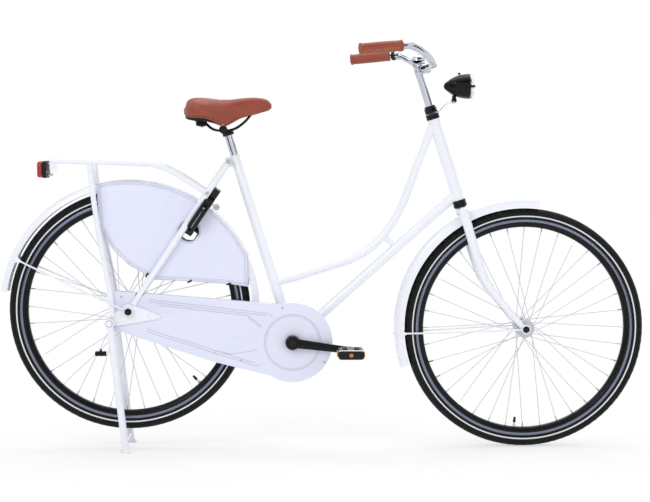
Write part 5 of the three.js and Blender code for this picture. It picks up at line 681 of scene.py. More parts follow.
RAIL_SHARES = [(-0.41, 0.965), (0, 0.985), (0.52, 0.992), (0.97, 1)]
TAB_RUN = 0.79
for side_name, side in SIDES.items():
    face = stay_spread(TAB_RUN) + STAY_RADIUS + 0.3
    tab = on_stay(TAB_RUN * STAY_LENGTH, 0, side * (face + 3))
    rail_route = [tab] + [on_rack(run, rise, side * RACK_HALF) for run, rise in RAIL_SHARES]
    leg_route = [on_rack(run, rise, side * RACK_HALF) for run, rise in
                 ((0.48, 0.985), (0.43, 0.74), (0.375, 0.54), (0.33, 0.41), (0.245, 0.17))]
    leg_route += [on_rack(run, rise, side * LEG_HALF) for run, rise in ((0.226, 0.1), (0.205, -0.035))]
    rail = sweep(rail_route, [(3, 8)] + [(8, 8)] * 4, 20, 48)
    leg = sweep(leg_route, [(8, 8)] * 5 + [(2, 8)] * 2, 20, 56)
    piece(f"rack_side_{side_name}_dressed", [rail, leg], "frame", "paint", 50,
          old=f"rack_side_{side_name}")
    piece(f"rack_tab_bolt_{side_name}", rod(tab + Y * side * 1.5, tab + Y * side * 5.6, 5.4, 6, 4.8),
          "frame", "bright", 30)

bars = [crosswise(on_rack(run, between(RAIL_SHARES, run)), BARS_HALF, 5, 16)
        for run in (-0.4, 0, 0.4, 0.78)]
bars.append(rod(on_rack(-0.4, between(RAIL_SHARES, -0.4)), Vector((-222.9, 0, 857)), 5, 16))
piece("rack_bars_dressed", bars, "frame", "paint", 50, old="rack_deck")


def back_plate(half, low, high, corner, rear, front):
    """Plate with round corners that stands across the bicycle."""
    outline = []
    for side, level, start in ((half - corner, low + corner, -90), (half - corner, high - corner, 0),
                               (corner - half, high - corner, 90), (corner - half, low + corner, 180)):
        outline += circle((side, level), corner, 7, start, 7 * 15)
    return skin([[Vector((x, y, z)) for y, z in outline] for x in (rear, front)])


piece("rack_plate", back_plate(66, 825, 865, 12, -224.46, -221.46), "frame", "paint", 40, edge=0.9)
for side_name, side in SIDES.items():
    piece(f"rack_plate_rivet_{side_name}", rod(Vector((-226.2, side * 54, 848)),
                                               Vector((-222, side * 54, 848)), 3.2, 16, 4.2),
          "frame", "bright", 30)

# Tail lamp: black back shell with a lip, ribbed red lens
piece("tail_lamp_back", back_plate(42, 805, 855, 12, -250.5, -238.46), "frame", "plastic", 40,
      old="tail_lamp_housing", edge=2.4)
studs = [rod(Vector((-240, 0, level)), Vector((-224, 0, level)), 4, 16) for level in (845.6, 814.4)]
piece("tail_lamp_studs", studs, "frame", "steel", 30)
lens = piece("tail_lamp_lens_dressed", back_plate(40.4, 806.4, 853.6, 11, -265.4, -250.2), "frame", "red",
             40, old="tail_lamp_lens")
round_edges(lens, 4.5, segments=5)
lens_ribs = [rod(Vector((-265.6, -34, level)), Vector((-265.6, 34, level)), 0.9, 8)
             for level in (813 + 4.25 * k for k in range(9))]
piece("tail_lamp_ribs", lens_ribs, "frame", "red", 50)

# Two-legged stand
STAND_PIVOT, STAND_HALF, PEG_HEIGHT = Vector((-53, 0, 382)), 83, 293


def on_leg(height, side):
    """The place at a height on one of the legs, which lean forward to the floor."""
    return Vector((-8 - 45 * height / STAND_PIVOT.z, side * STAND_HALF, height))


stand = []
for side in SIDES.values():
    pivot = STAND_PIVOT + Y * side * STAND_HALF
    stand.append(rod(pivot, on_leg(6, side), 11, 28, 10.4))
    stand.append(lathe(collar(5.6, 14, -11, 11, 1), pivot, 40))
stand.append(rod(on_leg(27, -1), on_leg(27, 1), 6, 20))
peg = on_leg(PEG_HEIGHT, -1)
stand.append(rod(peg, peg - X * 52, 5.2, 20))
piece("stand_legs", stand, "kickstand", "paint", 50, old="kickstand")
for side_name, side in SIDES.items():
    low, high = span(side, 72, 94)
    outline = [(-24, 0.3), (8, 0.3), (8, 5), (3.6, 8.4), (-18, 8.4), (-24, 5)]
    piece(f"stand_foot_{side_name}", plate(outline, low, high), "kickstand", "paint", 30, edge=1.6)
    sole = [(-22.6, 0), (6.6, 0), (6.6, 1.2), (-22.6, 1.2)]
    piece(f"stand_sole_{side_name}", plate(sole, low + 1.4, high - 1.4), "kickstand", "rubber", 30)
    pin = STAND_PIVOT + Y * side * 94.6
    piece(f"stand_washer_{side_name}", rod(pin - Y * side * 0.3, pin + Y * side * 0.9, 10.4, 28),
          "kickstand", "bright", 30)
peg_profile = [(5.4, 20), (7.2, 20.6)]
for k in range(7):
    peg_profile += [(7.4, 22 + 4.4 * k), (7.4, 24.6 + 4.4 * k), (6.7, 25 + 4.4 * k), (6.7, 26 + 4.4 * k)]
peg_profile += [(6.6, 52.2), (5.0, 53.4), (0.5, 53.8), (0.5, 21)]
piece("stand_peg_rubber", lathe(peg_profile, peg, 32, -X), "kickstand", "rubber", 30)
piece("stand_peg_stop", rod(peg - X * 36 + Z * 4, peg - X * 36 + Z * 13.5, 3.4, 16, 2.8),
      "kickstand", "rubber", 30)

# Dress guards: vinyl stretched over the rear wheel, with welded double seams and a cut-out for the lock
PANEL_RADIUS = 384.2
PANEL_SHARES = [(-0.219, 0.633), (-0.188, 0.595), (-0.127, 0.488), (-0.066, 0.419), (0.011, 0.349),
                (0.141, 0.281), (0.18, 0.243), (0.471, 0.228), (0.769, 0.205), (0.915, 0.182),
                (0.914, 0.213)]
PANEL_MESH = 9.0
bite_place = on_stay(LOCK_PLACE - 56, LOCK_AHEAD) - REAR_AXLE
BITE_CENTRE, BITE_RADIUS = (bite_place.x, bite_place.z), 30
BITE = circle(BITE_CENTRE, BITE_RADIUS, 40)


def steps_of(outline):
    """Each point of a closed line with the next one."""
    return zip(outline, outline[1:] + outline[:1])


def dense(points, pitch, closed=True):
    """The same line with a point at least every pitch."""
    result = []
    for (ax, az), (bx, bz) in steps_of(points) if closed else zip(points, points[1:]):
        count = max(1, math.ceil(math.hypot(bx - ax, bz - az) / pitch))
        result += [(ax + (bx - ax) * k / count, az + (bz - az) * k / count) for k in range(count)]
    return result if closed else result + [points[-1]]


def inside(point, outline):
    """Whether a point is inside a closed line."""
    x, z = point
    odd = False
    for (ax, az), (bx, bz) in steps_of(outline):
        if (az > z) != (bz > z) and x < ax + (bx - ax) * (z - az) / (bz - az):
            odd = not odd
    return odd


def inset(outline, distance):
    """A closed line moved inwards by a distance, for an anticlockwise outline."""
    moved = []
    for i, (x, z) in enumerate(outline):
        (ax, az), (bx, bz) = outline[i - 1], outline[(i + 1) % len(outline)]
        run = math.hypot(bx - ax, bz - az) or 1
        moved.append((x - (bz - az) / run * distance, z + (bx - ax) / run * distance))
    return moved


def clearance(point, outline):
    """How far a point is from a closed line."""
    best = math.inf
    for (ax, az), (bx, bz) in steps_of(outline):
        dx, dz = bx - ax, bz - az
        t = max(0, min(1, ((point[0] - ax) * dx + (point[1] - az) * dz) / (dx * dx + dz * dz)))
        best = min(best, math.hypot(point[0] - ax - t * dx, point[1] - az - t * dz))
    return best


corner_line = [(PANEL_RADIUS * math.cos(math.radians(a)), PANEL_RADIUS * math.sin(math.radians(a)))
               for a in (24 + 80 * k / 48 for k in range(49))]
PANEL_OUTLINE = corner_line + [(x * PANEL_RADIUS, z * PANEL_RADIUS) for x, z in PANEL_SHARES]
PANEL_EDGE, BITE_EDGE = dense(PANEL_OUTLINE, PANEL_MESH), dense(BITE, PANEL_MESH)
GRID_ROW, EDGE_GAP = 0.866, 4
HOOK_PLACES = [(54.2, 108), (69.2, 93.4), (181, 87.6), (295.4, 78.8), (-84.1, 243.2)]


def on_panel(x, z, side, lift=0.0):
    """A point of the vinyl, which flares towards the hub and is drawn in a little between its hooks."""
    radius = math.hypot(x, z)
    slack = min(1.0, clearance((x, z), PANEL_OUTLINE) / 60)
    ripple = 0.5 + 0.5 * noise.noise(Vector((x, z, side * 40)) * 0.018)
    out = 31.4 + 0.052 * (PANEL_RADIUS - radius) + 0.85 - 1.1 * slack * ripple + lift
    return Vector((x, side * out, REAR_AXLE.z + z))


def on_vinyl(spot):
    """Whether a point is on the coat guard, outside the wheel's opening in it."""
    return inside(spot, PANEL_EDGE) and not inside(spot, BITE_EDGE)


def panel_mesh(side):
    """The vinyl as triangles between its edge, the cut-out for the lock and a grid of points."""
    grid = []
    for i in range(-16, 44):
        for j in range(6, 46):
            spot = (i * PANEL_MESH + (j % 2) * PANEL_MESH / 2, j * PANEL_MESH * GRID_ROW)
            if on_vinyl(spot) and min(clearance(spot, PANEL_EDGE), clearance(spot, BITE_EDGE)) > EDGE_GAP:
                grid.append(spot)
    count, bite_count = len(PANEL_EDGE), len(BITE_EDGE)
    links = [(k, (k + 1) % count) for k in range(count)]
    links += [(count + k, count + (k + 1) % bite_count) for k in range(bite_count)]
    spots = [Vector(p) for p in PANEL_EDGE + BITE_EDGE + grid]
    corners, _, faces, *_ = geometry.delaunay_2d_cdt(spots, links, [], 0, 1e-4)
    kept = [tuple(face) for face in faces
            if on_vinyl(sum((corners[k] for k in face), Vector((0, 0))) / len(face))]
    return [on_panel(p.x, p.y, side) for p in corners], kept


def flat_ridge(route, across, wide, tall):
    """A low rounded ridge along a closed route on a side panel."""
    rings = []
    for i, point in enumerate(route):
        ahead = (route[(i + 1) % len(route)] - route[i - 1]).normalized()
        out = (across - ahead * across.dot(ahead)).normalized()
        edge = ahead.cross(out)
        rings.append([point + edge * wide * math.cos(turn) + out * tall * math.sin(turn)
                      for turn in (2 * math.pi * k / 8 for k in range(8))])
    return skin(rings, closed=True)


# Each ridge: its line, how far it's lifted off the vinyl, its half width and its half height
edging = dense(PANEL_OUTLINE, 5)
RIDGES = [(dense(inset(edging, 6.5), 4), 0.45, 0.8, 0.55),
          (dense(inset(edging, 10.5), 4), 0.45, 0.8, 0.55),
          (circle(BITE_CENTRE, BITE_RADIUS + 4.5, 48), 0.45, 0.8, 0.55), (inset(edging, 0.6), 0, 1.0, 1.1)]
for side_name, side in SIDES.items():
    vinyl = piece(f"dress_guard_{side_name}_vinyl", panel_mesh(side), "frame", "panel", 50,
                  old=f"dress_guard_{side_name}")
    thick = vinyl.modifiers.new("thickness", "SOLIDIFY")
    thick.thickness = 1.1 * MILLI
    thick.offset = 0
    seams = [flat_ridge([on_panel(x, z, side, lift) for x, z in line], Y * side, wide, tall)
             for line, lift, wide, tall in RIDGES]
    # The seams' darker colour is painted shade on the ridges.
    seam = piece(f"dress_guard_{side_name}_seams", seams, "frame", "seam", 60)
    clips = []
    for x, z in HOOK_PLACES:
        low = on_panel(x, z, side, 0.9)
        inward = Vector((-x, 0, -z)).normalized()
        clips.append(sweep([low - inward * 5 + Y * side * 0.2, low + Y * side * 0.9,
                            low + inward * 6 - Y * side * 0.6, low + inward * 9 - Y * side * 3.4],
                           [(2.6, 0.9)] * 2, 12, 16, across=inward.cross(Y)))
        head = low - inward * 2.5
        clips.append(rod(head - Y * side * 0.6, head + Y * side * 1.6, 2.6, 14))
    hooks = piece(f"dress_guard_{side_name}_hooks", clips, "frame", "plastic", 40)

# Chaincase: moulded lines and screws on its outer face
CASE_FACE, LINE_WIDE, LINE_TALL = -60, 1.1, 0.75


def on_case(points):
    """Points on the chaincase's outer face."""
    return [Vector((x, CASE_FACE - 0.05, z)) for x, z in points]


def case_line(points):
    """Raised line that a run of points draws on the chaincase."""
    route = on_case(dense(points, 3, closed=False))
    return sweep(route, [(LINE_TALL, LINE_WIDE)] * 2, 10, straight=True)


def case_ring(radius, wide, tall):
    """Raised ring on the chaincase, round the cranks' axle."""
    return flat_ridge(on_case(circle((BRACKET.x, BRACKET.z), radius, 96)), -Y, wide, tall)


CASE_LINES = [
    [(60, 450), (92, 445.5), (412, 407), (423, 396)],
    [(60, 443), (92, 438.5), (404, 401)],
    [(92, 432), (352, 400.5), (392, 368)],
    [(352, 400.5), (352, 394), (386, 366)],
    [(52, 356), (72, 348), (372, 252), (392, 256)],
    [(56, 363.5), (76, 355), (370, 260.5)],
    [(256, 297), (300, 287), (358, 295), (376, 304)],
    [(256, 297), (250, 290), (262, 285)],
]
lines = [case_line(line) for line in CASE_LINES]
lines += [case_ring(83, LINE_WIDE, LINE_TALL), case_ring(78.5, 0.8, 0.6)]
# The lines' darker colour is painted shade on the raised lines.
piece("chaincase_lines", lines, "frame",
      "seam", 60)

# Seal behind the case's face, closing the gap round the seat stay and the dropout
seal = [(-40, 465), (110, 456), (118, 380), (118, 342), (-40, 365)]
piece("chaincase_seal", plate(seal, -58.6, -57.6), "frame", "case", 30)


def screw(name, place, axis, radius, body):
    """Domed screw head with a cross cut."""
    profile = [(radius, 0), (radius, 0.5), (radius * 0.8, 1.2), (radius * 0.3, 1.6), (0.35, 1.6), (0.35, 0)]
    parts = [lathe(profile, place, 20, axis)]
    cross = axis.cross(Z).normalized() if abs(axis.dot(Z)) < 0.9 else X
    for way in (cross, axis.cross(cross)):
        cut = [place + axis * 1.45 - way * radius * 0.5, place + axis * 1.45 + way * radius * 0.5]
        parts.append(sweep(cut, [(0.3, 0.3)] * 2, 4, across=axis, straight=True))
    piece(name, parts, body, "bright", 30)


for k, (x, z) in enumerate(((452, 424), (-20, 458), (-20, 374), (575, 262), (330, 268))):
    screw(f"chaincase_screw_{k}", Vector((x, CASE_FACE, z)), -Y, 3.6, "frame")


# Fork: raked blades, crown, lower race and the locknut over the headset
CROWN = 391.94
# Each place on a blade: how far down it is, how far ahead, and the shares of its width and depth
BLADE_SHARES = [(0, 0, 1, 1), (0.3, -0.03, 1, 0.964), (0.5, -0.02, 0.95, 0.893), (0.6, 0.08, 0.9, 0.857),
                (0.7, 0.27, 0.8, 0.786), (0.82, 0.54, 0.7, 0.714), (0.975, 0.9, 0.45, 0.571)]
fork = []
for side in SIDES.values():
    blade = [on_steering(CROWN * (1 - drop), FORK_OFFSET * rake, side * (46 + 6.5 * k / 6))
             for k, (drop, rake, _, _) in enumerate(BLADE_SHARES)]
    fork.append(sweep(blade, [(10 * wide, 14 * deep) for _, _, wide, deep in BLADE_SHARES], 28, 84))
    fork.append(lathe(collar(5.2, 14, 50.2, 54.8, 0.8), FRONT_AXLE, 48, side=side))
piece("fork_dressed", fork, "fork", "paint", 50, old="fork")
CROWN_HALF, CROWN_STEPS = 53, 12
crown_rings = []
for step in range(-CROWN_STEPS, CROWN_STEPS + 1):
    t = step / CROWN_STEPS
    end = 0.62 if abs(t) == 1 else 1
    deep = 14.6 * (1 - 0.12 * t * t) * end
    tall = 9.4 * (1 - 0.1 * t * t) * end
    crown_rings.append([on_steering(CROWN + tall * math.sin(a), deep * math.cos(a), CROWN_HALF * t)
                        for a in (math.tau * k / 28 for k in range(28))])
piece("fork_crown", skin(crown_rings), "fork", "paint", 60)
piece("fork_race", lathe([(11, 399), (17, 399), (17.8, 400.2), (17, 401.6), (11, 401.6)], on_steering(0),
                         48, STEER_UP), "fork", "bright", 30)
piece("fork_column", rod(on_steering(398), on_steering(694), 10.4, 32), "fork", "steel", 40)
piece("headset_washer", rod(on_steering(693.8), on_steering(697.4), 18.4, 48), "fork", "black", 30)
piece("headset_locknut", rod(on_steering(697.4), on_steering(708.9), 18.9, 8), "fork", "black",
      25, edge=1.2)


# Axles: cones, washers, flanged nuts and threaded ends
def axle_end(name, axle, side, body, cone, washer, nut, tip, width):
    """cone, washer and nut are (inner end, outer end) from the middle, width is the nut's radius."""
    bore, wide, flange = 4.4, width * 0.95, width * 1.22
    locknut = lathe([(bore, cone[0]), (wide, cone[0]), (wide, cone[1] - 1), (width * 0.8, cone[1]),
                     (bore, cone[1])], axle, 6, Y * side)
    disc = lathe([(bore, washer[0]), (width * 1.35, washer[0]), (width * 1.35, washer[1]),
                  (bore, washer[1])], axle, 32, Y * side)
    piece(f"{name}_cone", [locknut, disc], body, "bright", 30)
    hexagon = [(bore, nut[0]), (flange, nut[0]), (flange, nut[0] + 1.2), (width, nut[0] + 2),
               (width, nut[1] - 1.4), (width * 0.86, nut[1]), (bore, nut[1])]
    piece(f"{name}_nut", lathe(hexagon, axle, 6, Y * side), body, "black", 25, edge=0.4)
    root = nut[1] - 0.8
    thread, level = [], root
    while level < tip - 1.2:
        thread += [(4.7, level), (4.1, level + 0.5)]
        level += 1.0
    thread += [(bore, tip - 0.9), (3.2, tip), (0.3, tip), (0.3, root)]
    piece(f"{name}_thread", lathe(thread, axle, 20, Y * side), body, "black", 30)


for side_name, side in SIDES.items():
    axle_end(f"front_axle_{side_name}", FRONT_AXLE, side, "fork", (38.6, 49.6), (55.4, 57.2),
             (61, 71.8), 74.8, 9)
    axle_end(f"rear_axle_{side_name}", REAR_AXLE, side, "frame", (50.6, 57.1), (63, 67.9),
             (71.8, 82.5), 85.5, 9.4)
for name, axle, half, body in (("front", FRONT_AXLE, 74, "fork"), ("rear", REAR_AXLE, 84.6, "frame")):
    piece(f"{name}_spindle", crosswise(axle, half, 4.3, 20), body, "steel", 40, old=f"{name}_axle")

# Stem and handlebar
BAR = Vector((864.812, 0, 1126.791))
BAR_BACK, BAR_HALF, BAR_RISE = 195, 290, 54


def on_bar(out, back, up, side):
    """A place by its shares of the handlebar's half width, its reach to the rear and its rise."""
    return Vector((BAR.x - BAR_BACK * back, side * BAR_HALF * out, BAR.z + BAR_RISE * up))


BAR_SHARES = [(0.12, -0.01, 0), (0.42, -0.06, 0.03), (0.67, -0.075, 0.12), (0.79, 0.05, 0.58),
              (0.87, 0.26, 0.97), (0.93, 0.42, 0.95), (1, 1, 0.76)]
half_route = [on_bar(*share, 1) for share in BAR_SHARES]
bar_route = [Vector((p.x, -p.y, p.z)) for p in reversed(half_route)] + half_route
piece("handlebar_dressed", tube(bar_route, 11, sides=28, steps=260, across=Z), "fork", "chrome", 50,
      old="handlebar")
quill = on_steering(826.94)
neck = [on_steering(700), on_steering(790), quill, quill.lerp(BAR, 0.45), BAR]
stem = [sweep(neck, [(11, 11), (11, 11), (11.4, 11.4), (12.4, 12.4), (13, 13)], 28, 72)]
stem.append(lathe(collar(11.2, 18, -20, 20, 1), BAR, 48))
piece("stem_dressed", stem, "fork", "chrome", 50, old="stem")
ear = BAR + X * 18.5 - Z * 6
piece("stem_clamp_ear", lathe(collar(3, 8, -9, 9, 0.6, 1), ear, 28), "fork", "chrome", 40)
piece("stem_clamp_bolt", rod(ear - Y * 12.6, ear - Y * 8.4, 5.4, 6), "fork", "bright", 25,
      edge=0.5)
boot = [(10.8, 709), (15.4, 709), (16, 710), (16, 713.4), (14.6, 715), (10.8, 715)]
piece("stem_collar", lathe(boot, on_steering(0), 40, STEER_UP), "fork", "plastic", 40)
bolt_place = quill + STEER_UP * 8
piece("stem_bolt", rod(bolt_place, bolt_place + STEER_UP * 7.2, 6.2, 6, 5.8), "fork", "bright",
      25, edge=0.6)

# Grips: rolled ends, a turned body with wrapped leather and a stitched seam low on the outer side
GRIP = [(0, 9), (0.4, 12), (1.6, 15.4), (3, 16.8), (6, 17), (8, 16.2), (9.5, 15.3)]
GRIP += [(run, 15.35 + 0.5 * math.sin(math.pi * (run - 9.5) / 105)) for run in range(12, 114, 3)]
GRIP += [(115.5, 15.3), (117, 16), (120, 16.4), (123, 16.2), (125, 14.6), (126, 11.4)]
SEAM_DEPTH, SEAM_WIDTH, STITCHES, STITCH_PITCH = 0.7, 0.09, 26, 3.9
for side_name, side in SIDES.items():
    last, before = on_bar(1, 1, 0.76, side), on_bar(0.93, 0.42, 0.95, side)
    inward = (before - last).normalized()
    end = last - inward * 4
    seam = math.pi * (1 + 0.3 * side)
    rings = []
    up = inward.cross(Y * side).normalized()
    up = up if up.z > 0 else -up
    flank = inward.cross(up).normalized()

    def on_grip(run, reach, turn):
        return end + inward * run + up * reach * math.cos(turn) + flank * reach * math.sin(turn)

    for run, radius in GRIP:
        depth = SEAM_DEPTH if 10 < run < 115 else 0
        rings.append([on_grip(run, radius - depth * math.exp(-((turn - seam) / SEAM_WIDTH) ** 2), turn)
                      for turn in (math.tau * k / 40 for k in range(40))])
    piece(f"grip_{side_name}_dressed", skin(rings), "fork", "leather", 60, old=f"grip_{side_name}")
    stitches = []
    for k in range(STITCHES):
        lean = 1 if k % 2 else -1
        stitch = [on_grip(13 + STITCH_PITCH * k + 1.9 * share * lean, 16.35 if abs(share) < 1 else 15.2,
                          seam + 0.36 * share) for share in (-1, -0.4, 0.4, 1)]
        stitches.append(sweep(stitch, [(0.55, 0.55)] * 4, 6, 8, across=up))
    piece(f"grip_{side_name}_stitching", stitches, "fork", "thread", 60)

# Bell: domed cap with a turned rim, its lever and the band on the bar
bell = on_bar(0.72, -0.045, 0.32, 1)
cap = [(0.4, 35.6), (3.2, 35.6), (3.6, 34.6), (9, 33.6), (15, 31), (19.4, 26.6), (21.4, 21), (21.8, 17),
       (22, 16.2), (21, 16), (20.6, 20.6), (18.4, 25.8), (14.4, 29.6), (0.4, 32)]
piece("bell_cap", lathe(cap, bell, 56, Z), "fork", "chrome", 50, old="bell")
base = [(0.4, 14.6), (17.4, 14.6), (18.2, 15.6), (17.4, 18.4), (9, 20), (4, 20), (3.4, 32.4), (0.4, 32.4)]
piece("bell_base", lathe(base, bell, 40, Z), "fork", "plastic", 40)
along = (on_bar(0.75, -0.03, 0.42, 1) - on_bar(0.69, -0.06, 0.22, 1)).normalized()
piece("bell_band", lathe(collar(11.1, 15.6, -7, 7, 0.6, 1), bell, 40, along), "fork", "chrome", 40)
lever = [bell + Vector(place) for place in ((-4, 8, 15.4), (-16, 14, 15), (-27, 15, 14.6))]
lever_thickness = [(1.2, 3.4), (1.2, 4.4), (1.2, 3.6)]
piece("bell_lever", sweep(lever, lever_thickness, 14, 24, across=Z), "fork", "plastic",
      50)
piece("bell_rivet", rod(bell + Z * 35, bell + Z * 36.1, 2.4, 16, 1.8, across=X), "fork", "bright", 40)

# Black stop and chrome band ahead of the left grip, and a slim band on the same side of the stem
outer, inner = on_bar(0.93, 0.42, 0.95, 1), on_bar(0.87, 0.26, 0.97, 1)
bar_way = (inner - outer).normalized()
for name, share, half, radius, look in (("bar_stop", 0.55, 4.4, 14.4, "plastic"),
                                        ("bar_band", 0.97, 5.2, 14, "chrome")):
    profile = collar(10.6, radius, -half, half, 0.7)
    piece(name, lathe(profile, outer.lerp(inner, share), 36, bar_way), "fork", look, 40)
clip = on_bar(0.5, -0.065, 0.05, 1)
clip_way = (on_bar(0.56, -0.068, 0.07, 1) - on_bar(0.44, -0.06, 0.03, 1)).normalized()
piece("bar_clip", lathe(collar(11.1, 14, -4, 4, 0.4, 0.6), clip, 36, clip_way), "fork", "plastic", 40)

# Headlamp: bullet shell, chrome ring, reflector, bulb and clear lens on its bracket
strap_route = [on_steering(691.74 + 15 * rise, 74 * ahead) for rise, ahead in
               ((0, 0.26), (0.1, 0.34), (0.86, 0.62), (1, 1))]
piece("lamp_strap", sweep(strap_route, [(11, 1.7)] * 4, 16, 40), "fork", "steel", 40,
      old="headlamp_bracket")
piece("lamp_collar", lathe([(12, 691), (18.6, 691), (19, 691.6), (19, 693.2), (12, 693.2)], on_steering(0),
                           40, STEER_UP), "fork", "black", 40)
lamp_tip = strap_route[-1] + Vector((-31.5, 0, 43.7))
shell = smooth_line([(0.6, 0), (8, 3), (15, 11.5), (24, 24), (30.6, 38), (35.2, 56), (36.8, 68)], 48)
shell += [(37, 76), (37, 78.6), (34.9, 78.6), (34.6, 76)]
shell += [(r - 2.4, s + 0.6) for r, s in reversed(smooth_line(
    [(8, 5), (15, 12.5), (24, 25), (30.6, 38), (35.2, 56), (36.8, 68)], 20))]
ring = [(34.6, 77), (37, 77), (38, 77.8), (38.2, 79.6), (37.4, 80.8), (34.4, 81), (33.4, 80)]
dish = [(5, 44), (12, 47.6), (20, 55), (27, 65), (31.6, 74.6), (33.6, 80), (34, 79), (31.9, 72.6),
        (27.6, 63), (20.4, 53.6), (12, 46.2), (5, 42.6)]
bulb = [(0.3, 66), (2.4, 65.4), (4, 62.6), (4.2, 59), (3, 55), (3, 44), (0.3, 44)]
lens = [(0.3, 90.8), (10, 90.5), (22, 89.6), (31, 88), (34.6, 86.2), (35.6, 83.6), (35.6, 79.6),
        (33.6, 79.6), (33.4, 83), (30, 85.8), (22, 87.4), (10, 88.4), (0.3, 88.8)]
for name, profile, segments, look, smooth, node in (
        ("lamp_shell", shell, 72, "black", 60, "headlamp_shell"),
        ("lamp_ring", ring, 72, "chrome", 50, None),
        ("lamp_reflector", dish, 64, "chrome", 50, None), ("lamp_bulb", bulb, 28, "glass", 50, None),
        ("lamp_lens", lens, 64, "glass", 60, "headlamp_lens")):
    piece(name, lathe(profile, lamp_tip, segments, X), "fork", look, smooth, old=node)
foot = strap_route[-1]
piece("lamp_foot", lathe([(0.4, -3), (8, -3), (8, 4), (6.4, 6), (6.2, 16), (0.4, 16)], foot + Z * 0.6, 32,
                         Z), "fork", "black", 40)
piece("lamp_nut", rod(foot - Z * 6.6, foot - Z * 1.2, 6.4, 6, across=X), "fork", "bright", 25,
      edge=0.5)
tab = lamp_tip + Vector((83.6, -37, -1))
piece("lamp_lens_clip", block(tab, 6.6, 1.6, 3.4), "fork", "plastic", 30, edge=0.7)
switch = lamp_tip + X * 46
piece("lamp_switch", rod(switch + Z * 34.5, switch + Z * 39.6, 4.4, 20, 3.8), "fork", "plastic", 40)


# Saddle: a padded cushion over a black base, sprung on rails with rubber dampers
SADDLE_TABLE = [
    (0, 0.56, 0.62, 0.42, 0.44), (0.025, 0.76, 0.84, 0.33, 0.4), (0.08, 0.91, 0.94, 0.29, 0.38),
    (0.17, 1, 0.965, 0.28, 0.37), (0.26, 0.97, 0.955, 0.25, 0.37), (0.35, 0.82, 0.93, 0.14, 0.37),
    (0.44, 0.6, 0.915, 0, 0.37), (0.53, 0.44, 0.92, 0.1, 0.38), (0.63, 0.34, 0.945, 0.26, 0.42),
    (0.73, 0.28, 0.975, 0.35, 0.48), (0.83, 0.245, 0.985, 0.42, 0.53), (0.92, 0.22, 0.95, 0.5, 0.58),
    (0.975, 0.19, 0.885, 0.55, 0.6), (1, 0.14, 0.79, 0.59, 0.62),
]
SADDLE_REAR, SADDLE_RUN, SADDLE_HALF = 168, 250, 108
SADDLE_FLOOR, SADDLE_TALL = 956.98, 86
SQUARE = 0.62


def saddle_row(share):
    """Half width and the heights of the crown, the skirt's hem and the recess at a place along it."""
    shares = [row[0] for row in SADDLE_TABLE]
    k = max(i for i in range(len(shares) - 1) if shares[i] <= share or i == 0)
    rows = [SADDLE_TABLE[max(0, min(len(SADDLE_TABLE) - 1, i))] for i in (k - 1, k, k + 1, k + 2)]
    t = (share - rows[1][0]) / (rows[2][0] - rows[1][0])
    values = []
    for column in range(1, 5):
        before, a, b, after = [row[column] for row in rows]
        slope_a = (b - before) * 0.5 if k > 0 else b - a
        slope_b = (after - a) * 0.5 if k < len(SADDLE_TABLE) - 2 else b - a
        low, high = sorted((a, b))
        cubic = ((2 * t ** 3 - 3 * t * t + 1) * a + (t ** 3 - 2 * t * t + t) * slope_a
                 + (3 * t * t - 2 * t ** 3) * b + (t ** 3 - t * t) * slope_b)
        room = 0.2 * (high - low)
        values.append(max(low - room, min(high + room, cubic)))
    return values


def saddle_z(level):
    """Height above the floor of a level in SADDLE_TABLE."""
    return SADDLE_FLOOR + SADDLE_TALL * level


def squared(share, power=SQUARE):
    """A sine or cosine drawn outwards, so that a circle turns into a rounded square."""
    return math.copysign(abs(share) ** power, share)


def saddle_point(share, turn):
    """A point of the cover's outside; turn runs from 0 at one hem over the crown to pi at the other."""
    half, crown, hem, _ = saddle_row(share)
    out = squared(math.cos(turn))
    rise = math.sin(turn) ** SQUARE if math.sin(turn) > 0 else 0.0
    dip = 4 * math.sin(math.pi * share) * math.exp(-(out / 0.16) ** 2)
    drawn = 0.9 + 0.1 * min(1, rise / 0.5)
    y = out * half * SADDLE_HALF * drawn
    z = saddle_z(hem + (crown - hem) * rise) - dip
    return Vector((SADDLE_REAR + SADDLE_RUN * share, y, z))


def shrunk(ring, share, ahead):
    """The ring drawn in about its middle and moved ahead."""
    middle = sum(ring, Vector((0, 0, 0))) / len(ring)
    return [middle + (p - middle) * share + X * ahead for p in ring]


def cushion_mesh():
    """Closed skin: over the crown, tucked under the hem and back along a flat underside."""
    rings = []
    for share in (0.5 - 0.5 * math.cos(math.pi * k / 54) for k in range(55)):
        half, crown, hem, recess = saddle_row(share)
        over = [saddle_point(share, math.pi * k / 44) for k in range(45)]
        under = []
        for k in range(1, 16):
            across = -1 + 2 * k / 16
            tuck = 1 - abs(across) ** 6
            y = across * half * SADDLE_HALF * (0.9 - 0.04 * tuck)
            z = saddle_z(hem) + (saddle_z(recess) - saddle_z(hem)) * tuck * 0.55 + 1.0
            under.append(Vector((SADDLE_REAR + SADDLE_RUN * share, y, z)))
        rings.append(over + under)
    caps = (0.95, 1.5), (0.82, 2.6), (0.6, 3.2)
    tail, nose = [[shrunk(ring, shrink, way * reach) for shrink, reach in caps]
                  for ring, way in ((rings[0], -1), (rings[-1], 1))]
    return skin(tail[::-1] + rings + nose)


